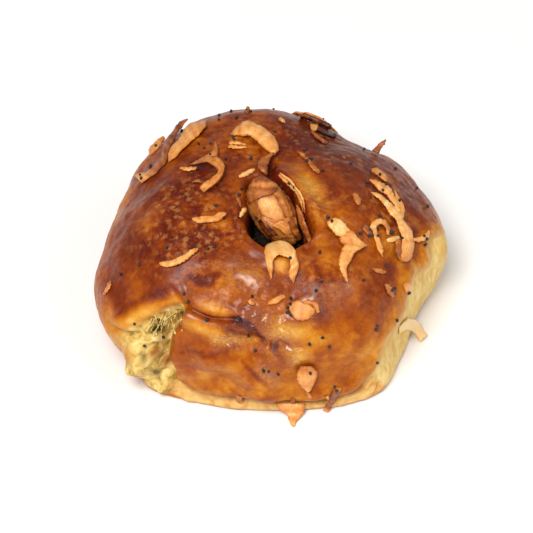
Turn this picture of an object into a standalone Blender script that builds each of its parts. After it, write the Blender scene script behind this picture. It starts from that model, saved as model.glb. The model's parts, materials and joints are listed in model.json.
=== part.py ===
"""Onion roll: a glazed bread roll with fried onion pieces and poppy seeds baked on top.

The dough is one solid: a dome on a low wall, standing on a flat foot, with its hollow, folds, torn
corner and bottom layer worked in as relief, and with its seeds and small flakes fused on. Each larger
onion piece is a solid of its own that lies on the dough with a small gap.

Lengths are millimetres until a mesh is made. +X is right, +Y is away from the viewer, +Z is up, and
the origin is the middle of the flat foot. Features are drawn on a slanted sheet, seen from the front
and from above, in dots of 0.3 mm counted from the sheet's upper left corner, and carried straight
away from the eye on to the dough. Pieces on the far side are drawn on the same sheet from behind.
"""
import math
from collections import namedtuple

import bmesh
import bpy
import numpy as np
from mathutils import Vector
from mathutils.bvhtree import BVHTree

MM = 0.001

# The slanted sheet
SHEET_TILT = math.radians(45)
SHEET_DISTANCE = 800.0
SHEET_MIDDLE = 266.5
DOT = 0.30
AIM = np.array([-2.0, 0.0, 10.0])
FRONT, BEHIND = 0.0, math.pi

# Driving dimensions of the dough
HEIGHT = 49.0
WALL_HEIGHT = 17.0
TOP_RADIUS = 50.0
TOP_LEAN = -4.0
FOOT_ROUNDING = 1.2
# Degrees round from +X, and the radius there
OUTLINE = (
    (0, 52.5), (30, 49), (60, 46), (90, 46.5), (120, 46), (150, 44.5), (175, 46), (195, 52), (212, 57),
    (228, 57.3), (243, 53), (262, 50.2), (280, 50.2), (295, 52.2), (307, 52.5), (322, 48), (342, 47.5),
)
# Degrees, and the power of the dome's rounded profile: 2 is an ellipse, more is fuller
FULLNESS = ((0, 2.4), (45, 1.8), (90, 2.35), (135, 2.42), (165, 2.25), (195, 2.3), (225, 2.5), (270, 2.5), (315, 2.5))
# Degrees, and the share of the radius by which the wall pulls in at the foot
TUCK = (
    (0, 0.12), (45, 0.05), (90, 0.06), (135, 0.08), (180, 0.18), (200, 0.22), (216, 0.16), (228, 0.055),
    (245, 0.02), (270, 0.0), (300, 0.0), (325, 0.01), (340, 0.08),
)
# Where the wall and the foot start, as shares of the way from the top to the middle of the foot
WALL_START, FOOT_START = 0.60, 0.82

# Mesh of the dough
COLUMNS = 78
DOME_ROWS, WALL_ROWS, FOOT_ROWS = 24, 9, 2
CROWDED_AT, CROWDING = math.radians(-112), 0.36
# The narrowest groove that this mesh can hold, in dots
NARROWEST = 5.0

# Seeds
SEED_RADIUS = 0.55
SEED_STANDS = 0.2
SEED_CLEARANCE = 0.45
SEED_DRAW = 5
# Middle across and down the sheet, spread and number of seeds
SEED_GROUPS = (
    (150, 168, 13, 8), (213, 155, 14, 8), (240, 138, 12, 6), (270, 200, 24, 8), (311, 160, 9, 4),
    (376, 232, 24, 22), (398, 182, 15, 8), (291, 310, 14, 8), (268, 352, 18, 11), (330, 335, 38, 10),
    (372, 292, 26, 7), (130, 300, 34, 5),
)
BEHIND_SEED_GROUPS = ((200, 310, 34, 8), (330, 300, 34, 8))

# Onion pieces
RIBBON_SECTIONS = 9
RIBBON_SIDES = 6
RIBBON_THICKNESS = 0.9
STIFFNESS = 6
GAP = 0.32
FLAKE_SECTIONS = 5
LOOKED_FROM = 5.0

# A curled strip: its route over the sheet, and its width, height above the dough, twist in degrees and
# the height of its arched middle. Triples are values at its start, middle and end.
Ribbon = namedtuple("Ribbon", "route width lift twist cup side", defaults=((0, 0), 0.5, FRONT))
Onion = namedtuple("Onion", "name tone ribbons")

ONIONS = (
    Onion("onion_crest_long", "brown", (
        Ribbon(((188, 120), (178, 125), (171, 138), (166, 152), (157, 167), (146, 174), (136, 176)),
               (0.6, 2.6, 2.2), (1.2, 0.6, 0.5), (0, 25)),)),
    Onion("onion_crest_broad", "golden", (
        Ribbon(((205, 122), (190, 132), (178, 144), (171, 160)), (2.8, 3.9, 1.6), (1.2, 1.0, 0.3)),)),
    Onion("onion_crest_edge", "golden", (
        Ribbon(((164, 137), (156, 145), (149, 154)), (0.9, 2.0, 1.0), (0.2, 0.5, 0.2)),)),
    Onion("onion_hook_left", "golden", (
        Ribbon(((190, 165), (202, 159), (214, 156), (221, 164), (220, 174), (211, 184), (203, 190)),
               (0.8, 2.3, 2.2), (0.3, 2.0, 0.6)),)),
    Onion("onion_crescent", "golden", (
        Ribbon(((234, 133), (244, 127), (256, 129), (267, 138), (273, 149), (269, 158), (260, 165), (261, 173)),
               (0.9, 4.0, 1.4), (0.2, 1.6, 1.0), (0, 30), 0.9),)),
    Onion("onion_pair_left", "golden", (
        Ribbon(((229, 145), (238, 143), (247, 145)), (1.0, 2.0, 0.9), (0.2, 0.4, 0.2)),)),
    Onion("onion_flat_left", "golden", (
        Ribbon(((191, 221), (208, 216), (226, 215)), (0.9, 1.7, 0.9), (0.1, 0.3, 0.1)),)),
    Onion("onion_arc_left", "golden", (
        Ribbon(((160, 266), (181, 260), (199, 248)), (0.8, 2.0, 0.7), (0.2, 0.8, 0.2)),)),
    Onion("onion_rim_upper", "pale", (
        Ribbon(((278, 175), (291, 186), (300, 199), (304, 213)), (0.8, 1.6, 0.8), (0.2, 0.5, 0.2)),)),
    Onion("onion_rim_lower", "brown", (
        Ribbon(((298, 212), (301, 228), (309, 241)), (1.4, 2.0, 1.2), (0.3, 0.8, 0.3)),)),
    Onion("onion_arch", "golden", (
        Ribbon(((272, 279), (267, 266), (269, 254), (280, 247), (291, 252), (297, 264), (295, 276), (286, 285)),
               (0.5, 3.9, 0.8), (0.3, 1.0, 0.3), (0, 0), 0.7),)),
    Onion("onion_fork", "golden", (
        Ribbon(((371, 192), (382, 198), (393, 209), (400, 220), (405, 233), (409, 245), (405, 257), (397, 257)),
               (1.0, 3.0, 1.6), (0.3, 1.3, 0.6), (0, 0), 0.7),
        Ribbon(((369, 181), (381, 184), (390, 194), (395, 206), (400, 216)), (1.0, 3.0, 2.2), (0.3, 1.0, 1.5)),
        Ribbon(((394, 185), (397, 197), (404, 208), (402, 219)), (0.6, 2.4, 2.0), (0.3, 0.9, 1.4)),)),
    Onion("onion_fork_tip", "golden", (
        Ribbon(((374, 168), (382, 174), (388, 180)), (1.0, 1.8, 0.9), (0.2, 0.5, 0.2)),)),
    Onion("onion_hook_right", "golden", (
        Ribbon(((365, 246), (354, 243), (345, 250), (340, 262), (342, 273), (347, 281)),
               (2.4, 3.8, 0.8), (0.4, 1.6, 0.3), (0, 0), 0.7),
        Ribbon(((328, 223), (337, 228), (345, 236), (350, 244)), (3.0, 4.4, 3.0), (0.4, 1.2, 1.4), (0, 0), 0.8),)),
    Onion("onion_bend_right", "golden", (
        Ribbon(((388, 233), (385, 223), (379, 220), (374, 226), (374, 237), (377, 247), (381, 257)),
               (0.7, 1.7, 0.7), (0.3, 1.6, 0.3)),)),
    Onion("onion_arc_right", "pale", (
        Ribbon(((414, 240), (422, 238), (429, 232)), (0.8, 1.5, 0.8), (0.2, 0.5, 0.2)),)),
    Onion("onion_burnt_top", "burnt", (
        Ribbon(((301, 115), (312, 119), (323, 123), (334, 130)), (1.6, 3.4, 1.8), (0.3, 2.2, 0.6), (0, 0), 0.8),)),
    Onion("onion_spike_top", "brown", (
        Ribbon(((376, 151), (386, 140)), (1.8, 1.4, 0.4), (0.2, 0.6, 1.0)),)),
    Onion("onion_sliver_top", "brown", (
        Ribbon(((297, 151), (308, 160), (321, 174)), (0.7, 1.3, 0.8), (0.1, 0.3, 0.1)),)),
    Onion("onion_front_flake", "golden", (
        Ribbon(((303, 364), (307, 375), (310, 387)), (2.6, 5.2, 1.6), (0.3, 1.0, 0.5), (0, 0), 0.8),)),
    Onion("onion_front_film", "golden", (
        Ribbon(((288, 306), (299, 312), (312, 313)), (3.4, 5.2, 3.0), (0.1, 0.3, 0.1), (0, 0), 0.2),)),
    Onion("onion_floor_flake", "golden", (
        Ribbon(((290, 405), (293, 426)), (7.0, 5.0, 0.8), (0.1, 0.3, 0.1), (0, 0), 0.4),)),
    Onion("onion_foot_strip", "burnt", (
        Ribbon(((342, 389), (323, 413)), (1.0, 2.4, 1.0), (0.2, 0.6, 0.2)),)),
    Onion("onion_wall_strip", "pale", (
        Ribbon(((403, 321), (424, 336)), (2.6, 3.8, 3.0), (0.3, 0.8, 0.8)),)),
    Onion("onion_behind_arc", "golden", (
        Ribbon(((190, 306), (206, 294), (226, 292), (242, 302)), (0.9, 3.2, 0.9), (0.3, 1.4, 0.3), (0, 20), 0.7, BEHIND),)),
    Onion("onion_behind_long", "brown", (
        Ribbon(((320, 276), (338, 286), (350, 304), (354, 324)), (0.8, 2.6, 1.2), (0.3, 1.2, 0.3), (0, 25), 0.5, BEHIND),)),
    Onion("onion_behind_hook", "golden", (
        Ribbon(((268, 332), (284, 326), (296, 336), (294, 352)), (0.9, 2.6, 1.0), (0.3, 1.2, 0.3), (0, 0), 0.6, BEHIND),)),
)
# Small flakes that are fused to the dough
FLAKES = (
    Ribbon(((217, 143), (214, 152)), (1.4, 2.0, 1.4), (0, 0, 0)),
    Ribbon(((180, 168), (188, 169), (197, 168)), (0.8, 1.2, 0.8), (0, 0, 0)),
    Ribbon(((239, 177), (247, 174), (254, 170)), (0.8, 1.5, 0.8), (0, 0, 0)),
    Ribbon(((269, 303), (276, 299), (284, 296)), (0.9, 1.5, 0.9), (0, 0, 0)),
    Ribbon(((388, 240), (394, 239), (400, 238)), (1.0, 1.8, 1.0), (0, 0, 0)),
    Ribbon(((363, 227), (368, 231), (372, 236)), (1.8, 2.6, 1.6), (0, 0, 0)),
    Ribbon(((373, 268), (379, 271), (385, 272)), (0.9, 1.5, 0.8), (0, 0, 0)),
    Ribbon(((404, 284), (408, 289), (407, 294)), (1.2, 2.0, 1.4), (0, 0, 0)),
    Ribbon(((385, 284), (389, 290), (392, 298)), (1.0, 1.8, 1.0), (0, 0, 0)),
    Ribbon(((104, 295), (108, 288), (111, 281)), (0.9, 1.5, 0.9), (0, 0, 0)),
    Ribbon(((273, 340), (274, 348), (273, 356)), (2.0, 3.2, 2.0), (0, 0, 0)),
    Ribbon(((237, 396), (240, 400), (242, 403)), (1.2, 1.8, 1.0), (0, 0, 0)),
    Ribbon(((354, 194), (357, 200), (359, 205)), (1.2, 2.2, 1.2), (0, 0, 0)),
    Ribbon(((247, 112), (248, 108)), (1.6, 1.2, 0.8), (0, 0, 0)),
)
# The folded onion heart in the hollow: its middle and turn on the sheet, half sizes, and height over the hollow's floor
HEART_AT = (274, 210)
HEART_TURN = 62.0
HEART_HALF = (9.4, 5.2, 4.2)
HEART_STANDS = 7.6
HEART_SIDES, HEART_RINGS = 12, 8

TONES = {
    "crust": ((150, 84, 40), 0.35),
    "golden": ((233, 160, 92), 0.50),
    "brown": ((140, 66, 26), 0.50),
    "pale": ((230, 205, 158), 0.55),
    "burnt": ((58, 20, 10), 0.60),
}


def smooth(x, low, high):
    """Smooth step: 0 below low, 1 above high."""
    t = np.clip((x - low) / (high - low), 0, 1)
    return t * t * (3 - 2 * t)


def ring_curve(degrees, knots):
    """Closed curve of cubic pieces through (degrees, value) knots, read at any degrees."""
    angle = np.array([k[0] for k in knots], float)
    value = np.array([k[1] for k in knots], float)
    angle = np.concatenate([angle[-2:] - 360, angle, angle[:3] + 360])
    value = np.concatenate([value[-2:], value, value[:3]])
    x = np.mod(degrees, 360)
    i = np.clip(np.searchsorted(angle, x, side="right") - 1, 1, len(angle) - 3)
    span = angle[i + 1] - angle[i]
    t = (x - angle[i]) / span
    m0 = (value[i + 1] - value[i - 1]) / (angle[i + 1] - angle[i - 1]) * span
    m1 = (value[i + 2] - value[i]) / (angle[i + 2] - angle[i]) * span
    h0 = 2 * t**3 - 3 * t**2 + 1
    h1 = t**3 - 2 * t**2 + t
    h2 = t**3 - t**2
    return h0 * value[i] + h1 * m0 + (1 - h0) * value[i + 1] + h2 * m1


def open_curve(route, steps):
    """Points evenly spread along a smooth curve through the route's own points."""
    p = np.array(route, float)
    p = np.vstack([2 * p[0] - p[1], p, 2 * p[-1] - p[-2]])
    t = np.linspace(0, 1, 12, endpoint=False)[:, None]
    dense = []
    for a, b, c, d in zip(p, p[1:], p[2:], p[3:]):
        dense.append(0.5 * (2 * b + (c - a) * t + (2 * a - 5 * b + 4 * c - d) * t**2 + (3 * b - a - 3 * c + d) * t**3))
    dense = np.vstack(dense + [p[-2:-1]])
    way = np.concatenate([[0], np.cumsum(np.linalg.norm(np.diff(dense, axis=0), axis=1))])
    even = np.linspace(0, way[-1], steps)
    return np.stack([np.interp(even, way, dense[:, k]) for k in range(dense.shape[1])], -1)


def sheet_axes(side):
    """The sheet's right, up and towards-the-eye directions, from the front or from behind."""
    turn = math.cos(side)
    right = np.array([turn, 0.0, 0.0])
    up = np.array([0.0, turn * math.sin(SHEET_TILT), math.cos(SHEET_TILT)])
    eye = np.array([0.0, -turn * math.cos(SHEET_TILT), math.sin(SHEET_TILT)])
    return right, up, eye


def sheet_dots(points, side=FRONT):
    """Where points show on the sheet, in dots across and down."""
    right, up, eye = sheet_axes(side)
    offset = points - AIM
    scale = SHEET_DISTANCE / (SHEET_DISTANCE - offset @ eye) / DOT
    return SHEET_MIDDLE + (offset @ right) * scale, SHEET_MIDDLE - (offset @ up) * scale


def sheet_ray(px, py, side=FRONT):
    """The eye and the direction from it through a dot of the sheet."""
    right, up, eye = sheet_axes(side)
    start = AIM + eye * SHEET_DISTANCE
    way = right * (px - SHEET_MIDDLE) * DOT + up * (SHEET_MIDDLE - py) * DOT - eye * SHEET_DISTANCE
    return start, way / np.linalg.norm(way)


def base_form(phi, s):
    """Smooth roll: a dome of superellipse profile, a wall and a flat foot; s runs from the top to the foot's middle."""
    degrees = np.degrees(phi)
    radius = ring_curve(degrees, OUTLINE)
    power = ring_curve(degrees, FULLNESS)
    tuck = ring_curve(degrees, TUCK)
    quarter = np.clip(s / WALL_START, 0, 1) * math.pi / 2
    down = np.clip((s - WALL_START) / (FOOT_START - WALL_START), 0, 1)
    inward = np.clip((1 - s) / (1 - FOOT_START), 0, 1)
    z = WALL_HEIGHT + (HEIGHT - WALL_HEIGHT) * np.abs(np.cos(quarter)) ** (2 / power)
    z = np.where(s > WALL_START, WALL_HEIGHT * (1 - down), z)
    z = np.where(s >= FOOT_START, 0.0, z)
    dome = radius * np.sin(quarter) ** (2 / power)
    wall = radius * (1 - tuck * down**2) - FOOT_ROUNDING * np.clip(1 - z / 1.5, 0, 1) ** 2
    foot = (radius * (1 - tuck) - FOOT_ROUNDING) * inward
    r = np.where(s <= WALL_START, dome, np.where(s < FOOT_START, wall, foot))
    r = r * (1 + 0.6 * (TOP_RADIUS / radius - 1) * smooth(z, 20, 46))
    lean = TOP_LEAN * (z / HEIGHT) ** 1.5
    return np.stack([r * np.cos(phi) + lean, r * np.sin(phi), z], -1)


def form_normals(phi, s):
    """Outward unit normals of the smooth roll, from small steps along both parameters."""
    step = 1e-3
    around = base_form(phi + step, s) - base_form(phi - step, s)
    along = base_form(phi, np.clip(s + step, 0, 1)) - base_form(phi, np.clip(s - step, 0, 1))
    normal = np.cross(along, around)
    return normal / np.maximum(np.linalg.norm(normal, axis=-1, keepdims=True), 1e-9)


def near_route(px, py, route):
    """Distance in dots to a route, positive on its right as it runs, and the share of the way along it."""
    points = open_curve(route, 6 * len(route))
    length = np.linalg.norm(np.diff(points, axis=0), axis=1)
    start = np.concatenate([[0], np.cumsum(length)])
    best = np.full(px.shape, np.inf)
    signed = np.zeros(px.shape)
    share = np.zeros(px.shape)
    for (ax, ay), (bx, by), size, before in zip(points, points[1:], length, start):
        dx, dy = (bx - ax) / size, (by - ay) / size
        t = np.clip((px - ax) * dx + (py - ay) * dy, 0, size)
        ex, ey = px - ax - t * dx, py - ay - t * dy
        distance = np.hypot(ex, ey)
        closer = distance < best
        best = np.where(closer, distance, best)
        signed = np.where(closer, np.where(dx * ey - dy * ex >= 0, distance, -distance), signed)
        share = np.where(closer, (before + t) / start[-1], share)
    return signed, share


def band(distance, width, middle=0.0):
    """Bell of height 1 about middle, never narrower than the mesh can hold."""
    return np.exp(-(((distance - middle) / max(width, NARROWEST)) ** 2))


def ends(share, first, last):
    """1 along a route, fading to 0 over its first and last shares."""
    fade_in = smooth(share, 0, first) if first else 1.0
    return fade_in * (smooth(1 - share, 0, last) if last else 1.0)


def spot(px, py, at, radius, squash=1.0, turn=0.0):
    """Round-topped bump of height 1 that ends at a radius; squash is the share of its short side."""
    c, s = math.cos(math.radians(turn)), math.sin(math.radians(turn))
    dx, dy = px - at[0], py - at[1]
    u, v = dx * c + dy * s, (dy * c - dx * s) / squash
    return (1 - np.clip((u * u + v * v) / radius**2, 0, 1)) ** 2


def ripple(points, wavelength, draw, waves=14):
    """Uneven swell of height about 1: a sum of sine waves in drawn directions."""
    rng = np.random.default_rng(draw)
    way = rng.normal(size=(waves, 3))
    way *= 2 * math.pi / wavelength * rng.uniform(0.7, 1.3, (waves, 1)) / np.linalg.norm(way, axis=1, keepdims=True)
    phase = rng.uniform(0, 2 * math.pi, waves)
    return sum(np.sin(points @ w + p) for w, p in zip(way, phase)) / math.sqrt(waves)


HOLLOW_AT, HOLLOW_TURN, HOLLOW_LONG, HOLLOW_SHORT = (275, 215), 62.0, 38.0, 28.5
HOLLOW_DEPTH = 9.0


def hollow_relief(px, py):
    """The uneven oval hollow at the top, with a raised rim and a shallow dish round it."""
    c, s = math.cos(math.radians(HOLLOW_TURN)), math.sin(math.radians(HOLLOW_TURN))
    dx, dy = px - HOLLOW_AT[0], py - HOLLOW_AT[1]
    u, v = (dx * c + dy * s) / HOLLOW_LONG, (dy * c - dx * s) / HOLLOW_SHORT
    angle = np.arctan2(v, u)
    q = np.hypot(u, v) * (1 + 0.07 * np.sin(3 * angle + 1.0) + 0.05 * np.sin(5 * angle + 2.2))
    rim = 1.3 * np.exp(-(((q - 1.25) / 0.22) ** 2))
    dish = 2.2 * np.exp(-((q / 2.2) ** 2))
    return rim - dish - HOLLOW_DEPTH * smooth(1.08 - q, 0.0, 0.42)


HOLLOW_CREASE = ((308, 246), (322, 242), (338, 243), (354, 247))
FOLD_TOP = ((180, 301), (192, 310), (211, 318), (228, 319), (243, 321), (256, 328), (267, 342))
FOLD_VALLEY = ((205, 330), (240, 336), (270, 345), (305, 346))
FOLD_CREST = ((192, 346), (225, 352), (262, 361), (300, 368), (345, 366))


def fold_relief(px, py):
    """The crease off the hollow, and the front fold: its groove, the dip below it and its crest."""
    across, share = near_route(px, py, HOLLOW_CREASE)
    height = -1.8 * band(across, 3.2) * ends(share, 0, 0.5)
    height += 0.9 * band(across, 6, -9) * ends(share, 0.15, 0.15)
    across, share = near_route(px, py, FOLD_TOP)
    height -= 2.4 * band(across, 3.0) * ends(share, 0.08, 0.3)
    height += (1.2 * band(across, 4.5, 7) + 0.8 * band(across, 4.0, -6)) * ends(share, 0.15, 0.15)
    across, share = near_route(px, py, FOLD_VALLEY)
    height -= 1.6 * band(across, 12) * ends(share, 0.3, 0.3)
    across, share = near_route(px, py, FOLD_CREST)
    height += 2.6 * band(across, 17) * ends(share, 0.3, 0.3)
    return height


FOLD_END = ((196, 308), (186, 312), (177, 326), (170, 345), (168, 362), (175, 379), (190, 391))
TORN_EDGE = ((118, 331), (131, 326), (148, 316), (164, 308), (182, 302))
LOBE_CREASE = ((108, 322), (118, 329), (132, 337))
POCKET_DEPTH = 7.5


def torn_relief(px, py):
    """The torn corner: a pocket beside the fold's end, the lip over it, pulled lumps and the lobe's crease."""
    across, share = near_route(px, py, FOLD_END)
    pocket = smooth(across, -1.5, max(5.0, 2 * NARROWEST - 1.5)) * np.exp(-((np.clip(across - 4, 0, None) / 15) ** 1.6))
    height = -POCKET_DEPTH * pocket * ends(share, 0.25, 0.12)
    across, share = near_route(px, py, TORN_EDGE)
    height -= 1.6 * smooth(across, -2, 4) * np.exp(-((np.clip(across, 0, None) / 30) ** 2)) * ends(share, 0.2, 0.2)
    height += 0.8 * band(across, 5, -6) * ends(share, 0.15, 0.15)
    height += 4.0 * spot(px, py, (142, 364), 20, 0.95, 30)
    height += 1.8 * spot(px, py, (133, 350), 10)
    height += 1.6 * spot(px, py, (151, 345), 11, 0.7, 40)
    height += 4.5 * spot(px, py, (166, 388), 15, 0.8, 20)
    across, share = near_route(px, py, LOBE_CREASE)
    height -= 1.8 * band(across, 3.0) * ends(share, 0.2, 0)
    height += 1.5 * band(across, 7, -9) * ends(share, 0.15, 0.15)
    return height


FOLD_FOOT = ((178, 384), (193, 393), (215, 397), (250, 400), (300, 402), (340, 397), (362, 386), (374, 372))
CRUST_EDGE = ((449, 230), (430, 240), (427, 262), (410, 281), (403, 312), (391, 338), (376, 368), (362, 384))


def edge_relief(px, py):
    """The groove over the bottom layer, and the crust's lip over the pale side that a neighbour touched."""
    across, share = near_route(px, py, FOLD_FOOT)
    height = -3.0 * band(across, 2.6) * ends(share, 0.1, 0.1)
    height += 1.6 * band(across, 7, -8) * ends(share, 0.12, 0.12)
    across, share = near_route(px, py, CRUST_EDGE)
    height += (1.0 * band(across, 6, 5) - 1.0 * band(across, 6, -5)) * ends(share, 0.1, 0.1)
    return height


def swell_relief(px, py):
    """Broad swells of the dome and one dent."""
    height = 1.2 * spot(px, py, (345, 205), 62, 0.8, 40)
    height += 1.2 * spot(px, py, (185, 225), 70, 0.7, -60)
    return height - 0.9 * spot(px, py, (204, 284), 16, 0.6, 10)


def dough_surface(phi, s):
    """Points of the dough: the smooth roll moved along its normals by the relief drawn on the sheet."""
    form = base_form(phi, s)
    normal = form_normals(phi, s)
    px, py = sheet_dots(form)
    drawn = hollow_relief(px, py) + fold_relief(px, py) + torn_relief(px, py) + edge_relief(px, py)
    height = (drawn + swell_relief(px, py)) * smooth(normal @ sheet_axes(FRONT)[2], 0.0, 0.3)
    height += 0.55 * ripple(form, 26, 4) + 0.22 * ripple(form, 10, 7)
    points = form + normal * (height * smooth(form[..., 2], 0.0, 3.0))[..., None]
    points[..., 2] = np.maximum(points[..., 2], 0.0)
    return points


def linear(rgb):
    """Linear colour of a screen colour given from 0 to 255."""
    return [((c / 255 + 0.055) / 1.055) ** 2.4 for c in rgb] + [1.0]


def finish(name, tone):
    """One plain material for a node."""
    rgb, roughness = TONES[tone]
    material = bpy.data.materials.new(name + "_finish")
    material.use_nodes = True
    shader = material.node_tree.nodes["Principled BSDF"]
    shader.inputs["Base Color"].default_value = linear(rgb)
    shader.inputs["Roughness"].default_value = roughness
    shader.inputs["Metallic"].default_value = 0.0
    return material


def add_node(name, points, faces, tone, parent, origin=None):
    """A named object with its own material; points are millimetres in the part's frame."""
    origin = np.mean(points, axis=0) if origin is None else np.array(origin, float)
    mesh = bpy.data.meshes.new(name)
    mesh.from_pydata(((np.asarray(points) - origin) * MM).tolist(), [], faces)
    mesh.materials.append(finish(name, tone))
    work = bmesh.new()
    work.from_mesh(mesh)
    bmesh.ops.triangulate(work, faces=work.faces[:])
    bmesh.ops.recalc_face_normals(work, faces=work.faces[:])
    work.to_mesh(mesh)
    work.free()
    mesh.shade_smooth()
    node = bpy.data.objects.new(name, mesh)
    node.location = origin * MM
    node.parent = parent
    bpy.context.scene.collection.objects.link(node)
    return node


def tube_faces(rings, sides, first_pole, last_pole):
    """Quads between rings of points, and fans to a pole at either end."""
    faces = []
    for r in range(rings - 1):
        for k in range(sides):
            a, b = r * sides + k, r * sides + (k + 1) % sides
            faces.append((a, a + sides, b + sides, b))
    last = (rings - 1) * sides
    for k in range(sides):
        faces.append((first_pole, k, (k + 1) % sides))
        faces.append((last_pole, last + (k + 1) % sides, last + k))
    return faces


def roll_grid(surface):
    """Points and faces of a surface of the roll: columns crowd to the front left, rows share out dome, wall and foot."""
    turn = np.linspace(0, 2 * math.pi, COLUMNS, endpoint=False)
    phi = turn + CROWDED_AT - CROWDING * np.sin(turn)
    dome = np.linspace(0, WALL_START, DOME_ROWS + 1)[1:]
    wall = np.linspace(WALL_START, FOOT_START, WALL_ROWS + 1)[1:]
    foot = np.linspace(FOOT_START, 1, FOOT_ROWS + 1)[1:-1]
    rows = np.concatenate([dome, wall, foot])
    grid = surface(*np.meshgrid(phi, rows))
    poles = surface(np.full((2, 1), -math.pi / 2), np.array([[0.0], [1.0]]))
    points = np.vstack([grid.reshape(-1, 3), poles.reshape(-1, 3)])
    count = len(rows) * COLUMNS
    return points, tube_faces(len(rows), COLUMNS, count, count + 1)


def world_tree(objects):
    """A search tree over several objects' faces, in millimetres."""
    points, faces = [], []
    for node in objects:
        first = len(points)
        shift = node.matrix_world.translation
        points += [(v.co + shift) / MM for v in node.data.vertices]
        faces += [[first + i for i in face.vertices] for face in node.data.polygons]
    return BVHTree.FromPolygons(points, faces)


def look_up(tree, px, py, side):
    """The point seen at a dot of the sheet and the surface's direction there, or None."""
    start, way = sheet_ray(px, py, side)
    point, normal, _, _ = tree.ray_cast(Vector(start), Vector(way))
    if point is None:
        return None
    return np.array(point), np.array(normal)


def look_beside(tree, px, py, side):
    """As look_up, and past the surface's edge the point on the ray that comes nearest to the surface."""
    seen = look_up(tree, px, py, side)
    if seen is not None:
        return seen
    start, way = sheet_ray(px, py, side)
    place = start + way * SHEET_DISTANCE
    for _ in range(4):
        near, normal, _, _ = tree.find_nearest(Vector(place))
        place = start + way * ((np.array(near) - start) @ way)
    return place, np.array(normal)


def laid_route(tree, form_tree, ribbon, sections):
    """Places and directions under a ribbon's route. A strip is stiff, so it bridges dips, and its
    directions are those of the smooth roll, or straight up where it lies on the floor. A route of two
    dots is a straight piece that leans from one to the other, towards the eye where it ends on the floor."""
    eye = sheet_axes(ribbon.side)[2]
    dots = open_curve(ribbon.route, sections)
    rays = [sheet_ray(px, py, ribbon.side) for px, py in dots]
    depth = np.array([(look_beside(tree, px, py, ribbon.side)[0] - ray[0]) @ eye for (px, py), ray in zip(dots, rays)])
    straight = len(ribbon.route) == 2
    for _ in range(0 if straight else STIFFNESS):
        depth = np.maximum(depth, even_out(depth))
    places, normals = [], []
    for (px, py), (start, way), deep in zip(dots, rays, depth):
        place = start + way * deep / (way @ eye)
        normal = look_beside(form_tree, px, py, ribbon.side)[1]
        if place[2] < GAP:
            place = start - way * start[2] / way[2]
            normal = np.array([0.0, 0.0, 1.0])
        places.append(place)
        normals.append(normal)
    places, normals = np.array(places), np.array(normals)
    if straight:
        share = np.linspace(0, 1, sections)[:, None]
        places = places[0] * (1 - share) + places[-1] * share
        normals = np.tile(eye if places[-1][2] < GAP else normals.mean(0), (sections, 1))
    return places, normals


def even_out(values):
    """Each row averaged with its neighbours."""
    padded = np.concatenate([values[:1], values, values[-1:]])
    return (padded[:-2] + 2 * padded[1:-1] + padded[2:]) / 4


def between(triple, share):
    """A value that starts, passes its middle and ends as the triple says."""
    first, middle, last = triple
    rise = np.sin(np.clip(2 * share, 0, 1) * math.pi / 2) ** 0.8
    fall = np.sin(np.clip(2 - 2 * share, 0, 1) * math.pi / 2) ** 0.8
    return np.where(share < 0.5, first + (middle - first) * rise, last + (middle - last) * fall)


def ribbon_rings(ribbon, tree, form_tree, sections, gap=None):
    """Rings of a strip: flattened, arched ovals square to the route. With a gap they rise until they clear
    the floor and what lies below them by it, and without one they lie half sunk."""
    centres, normals = laid_route(tree, form_tree, ribbon, sections)
    for _ in range(3):
        normals = even_out(normals)
    away = np.where([False, False, True], np.maximum(normals, 0), normals)
    away = away / np.linalg.norm(away, axis=1, keepdims=True)
    share = np.linspace(0, 1, sections)
    along = np.gradient(centres, axis=0)
    along /= np.linalg.norm(along, axis=1, keepdims=True)
    across = np.cross(along, normals)
    across /= np.linalg.norm(across, axis=1, keepdims=True)
    normals = np.cross(across, along)
    twist = np.radians(ribbon.twist[0] + (ribbon.twist[1] - ribbon.twist[0]) * share)[:, None]
    flat = across * np.cos(twist) + normals * np.sin(twist)
    high = normals * np.cos(twist) - across * np.sin(twist)
    width = between(ribbon.width, share)[:, None]
    angle = np.linspace(0, 2 * math.pi, RIBBON_SIDES, endpoint=False)
    u = np.cos(angle)[None, :] * width / 2
    body = RIBBON_THICKNESS * np.minimum(1, width / 1.2)
    v = np.sin(angle)[None, :] * body / 2 + ribbon.cup * (1 - np.cos(angle)[None, :] ** 2) * width / np.max(width)
    rings = centres[:, None] + flat[:, None] * u[..., None] + high[:, None] * v[..., None]
    if gap is None:
        return rings
    lift = between(ribbon.lift, share) + gap + RIBBON_THICKNESS / 2
    rings = rings + away[:, None] * lift[:, None, None]
    rings[..., 2] += np.maximum(gap - rings[..., 2].min(axis=1), 0)[:, None]
    for _ in range(3):
        short = np.array([shortfall(tree, ring, way, gap) for ring, way in zip(rings, away)])
        beside = np.maximum(np.append(short[1:], 0), np.append(0, short[:-1]))
        short = np.maximum(short, 0.7 * beside)
        rings = rings + away[:, None] * short[:, None, None]
    return rings


def shortfall(tree, ring, way, gap):
    """How much further a ring has to rise to stand clear of what lies below it."""
    need = 0.0
    for corner in ring:
        start = corner + way * LOOKED_FROM
        point, _, _, _ = tree.ray_cast(Vector(start), Vector(-way), 2 * LOOKED_FROM)
        if point is not None:
            need = max(need, gap - float((corner - np.array(point)) @ way))
    return need


def solid_of(rings):
    """Points and faces of a closed strip, with a pole in the middle of each end."""
    sections, sides = rings.shape[:2]
    poles = np.stack([rings[0].mean(0), rings[-1].mean(0)])
    points = np.vstack([rings.reshape(-1, 3), poles])
    count = sections * sides
    return points, tube_faces(sections, sides, count, count + 1)


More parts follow.
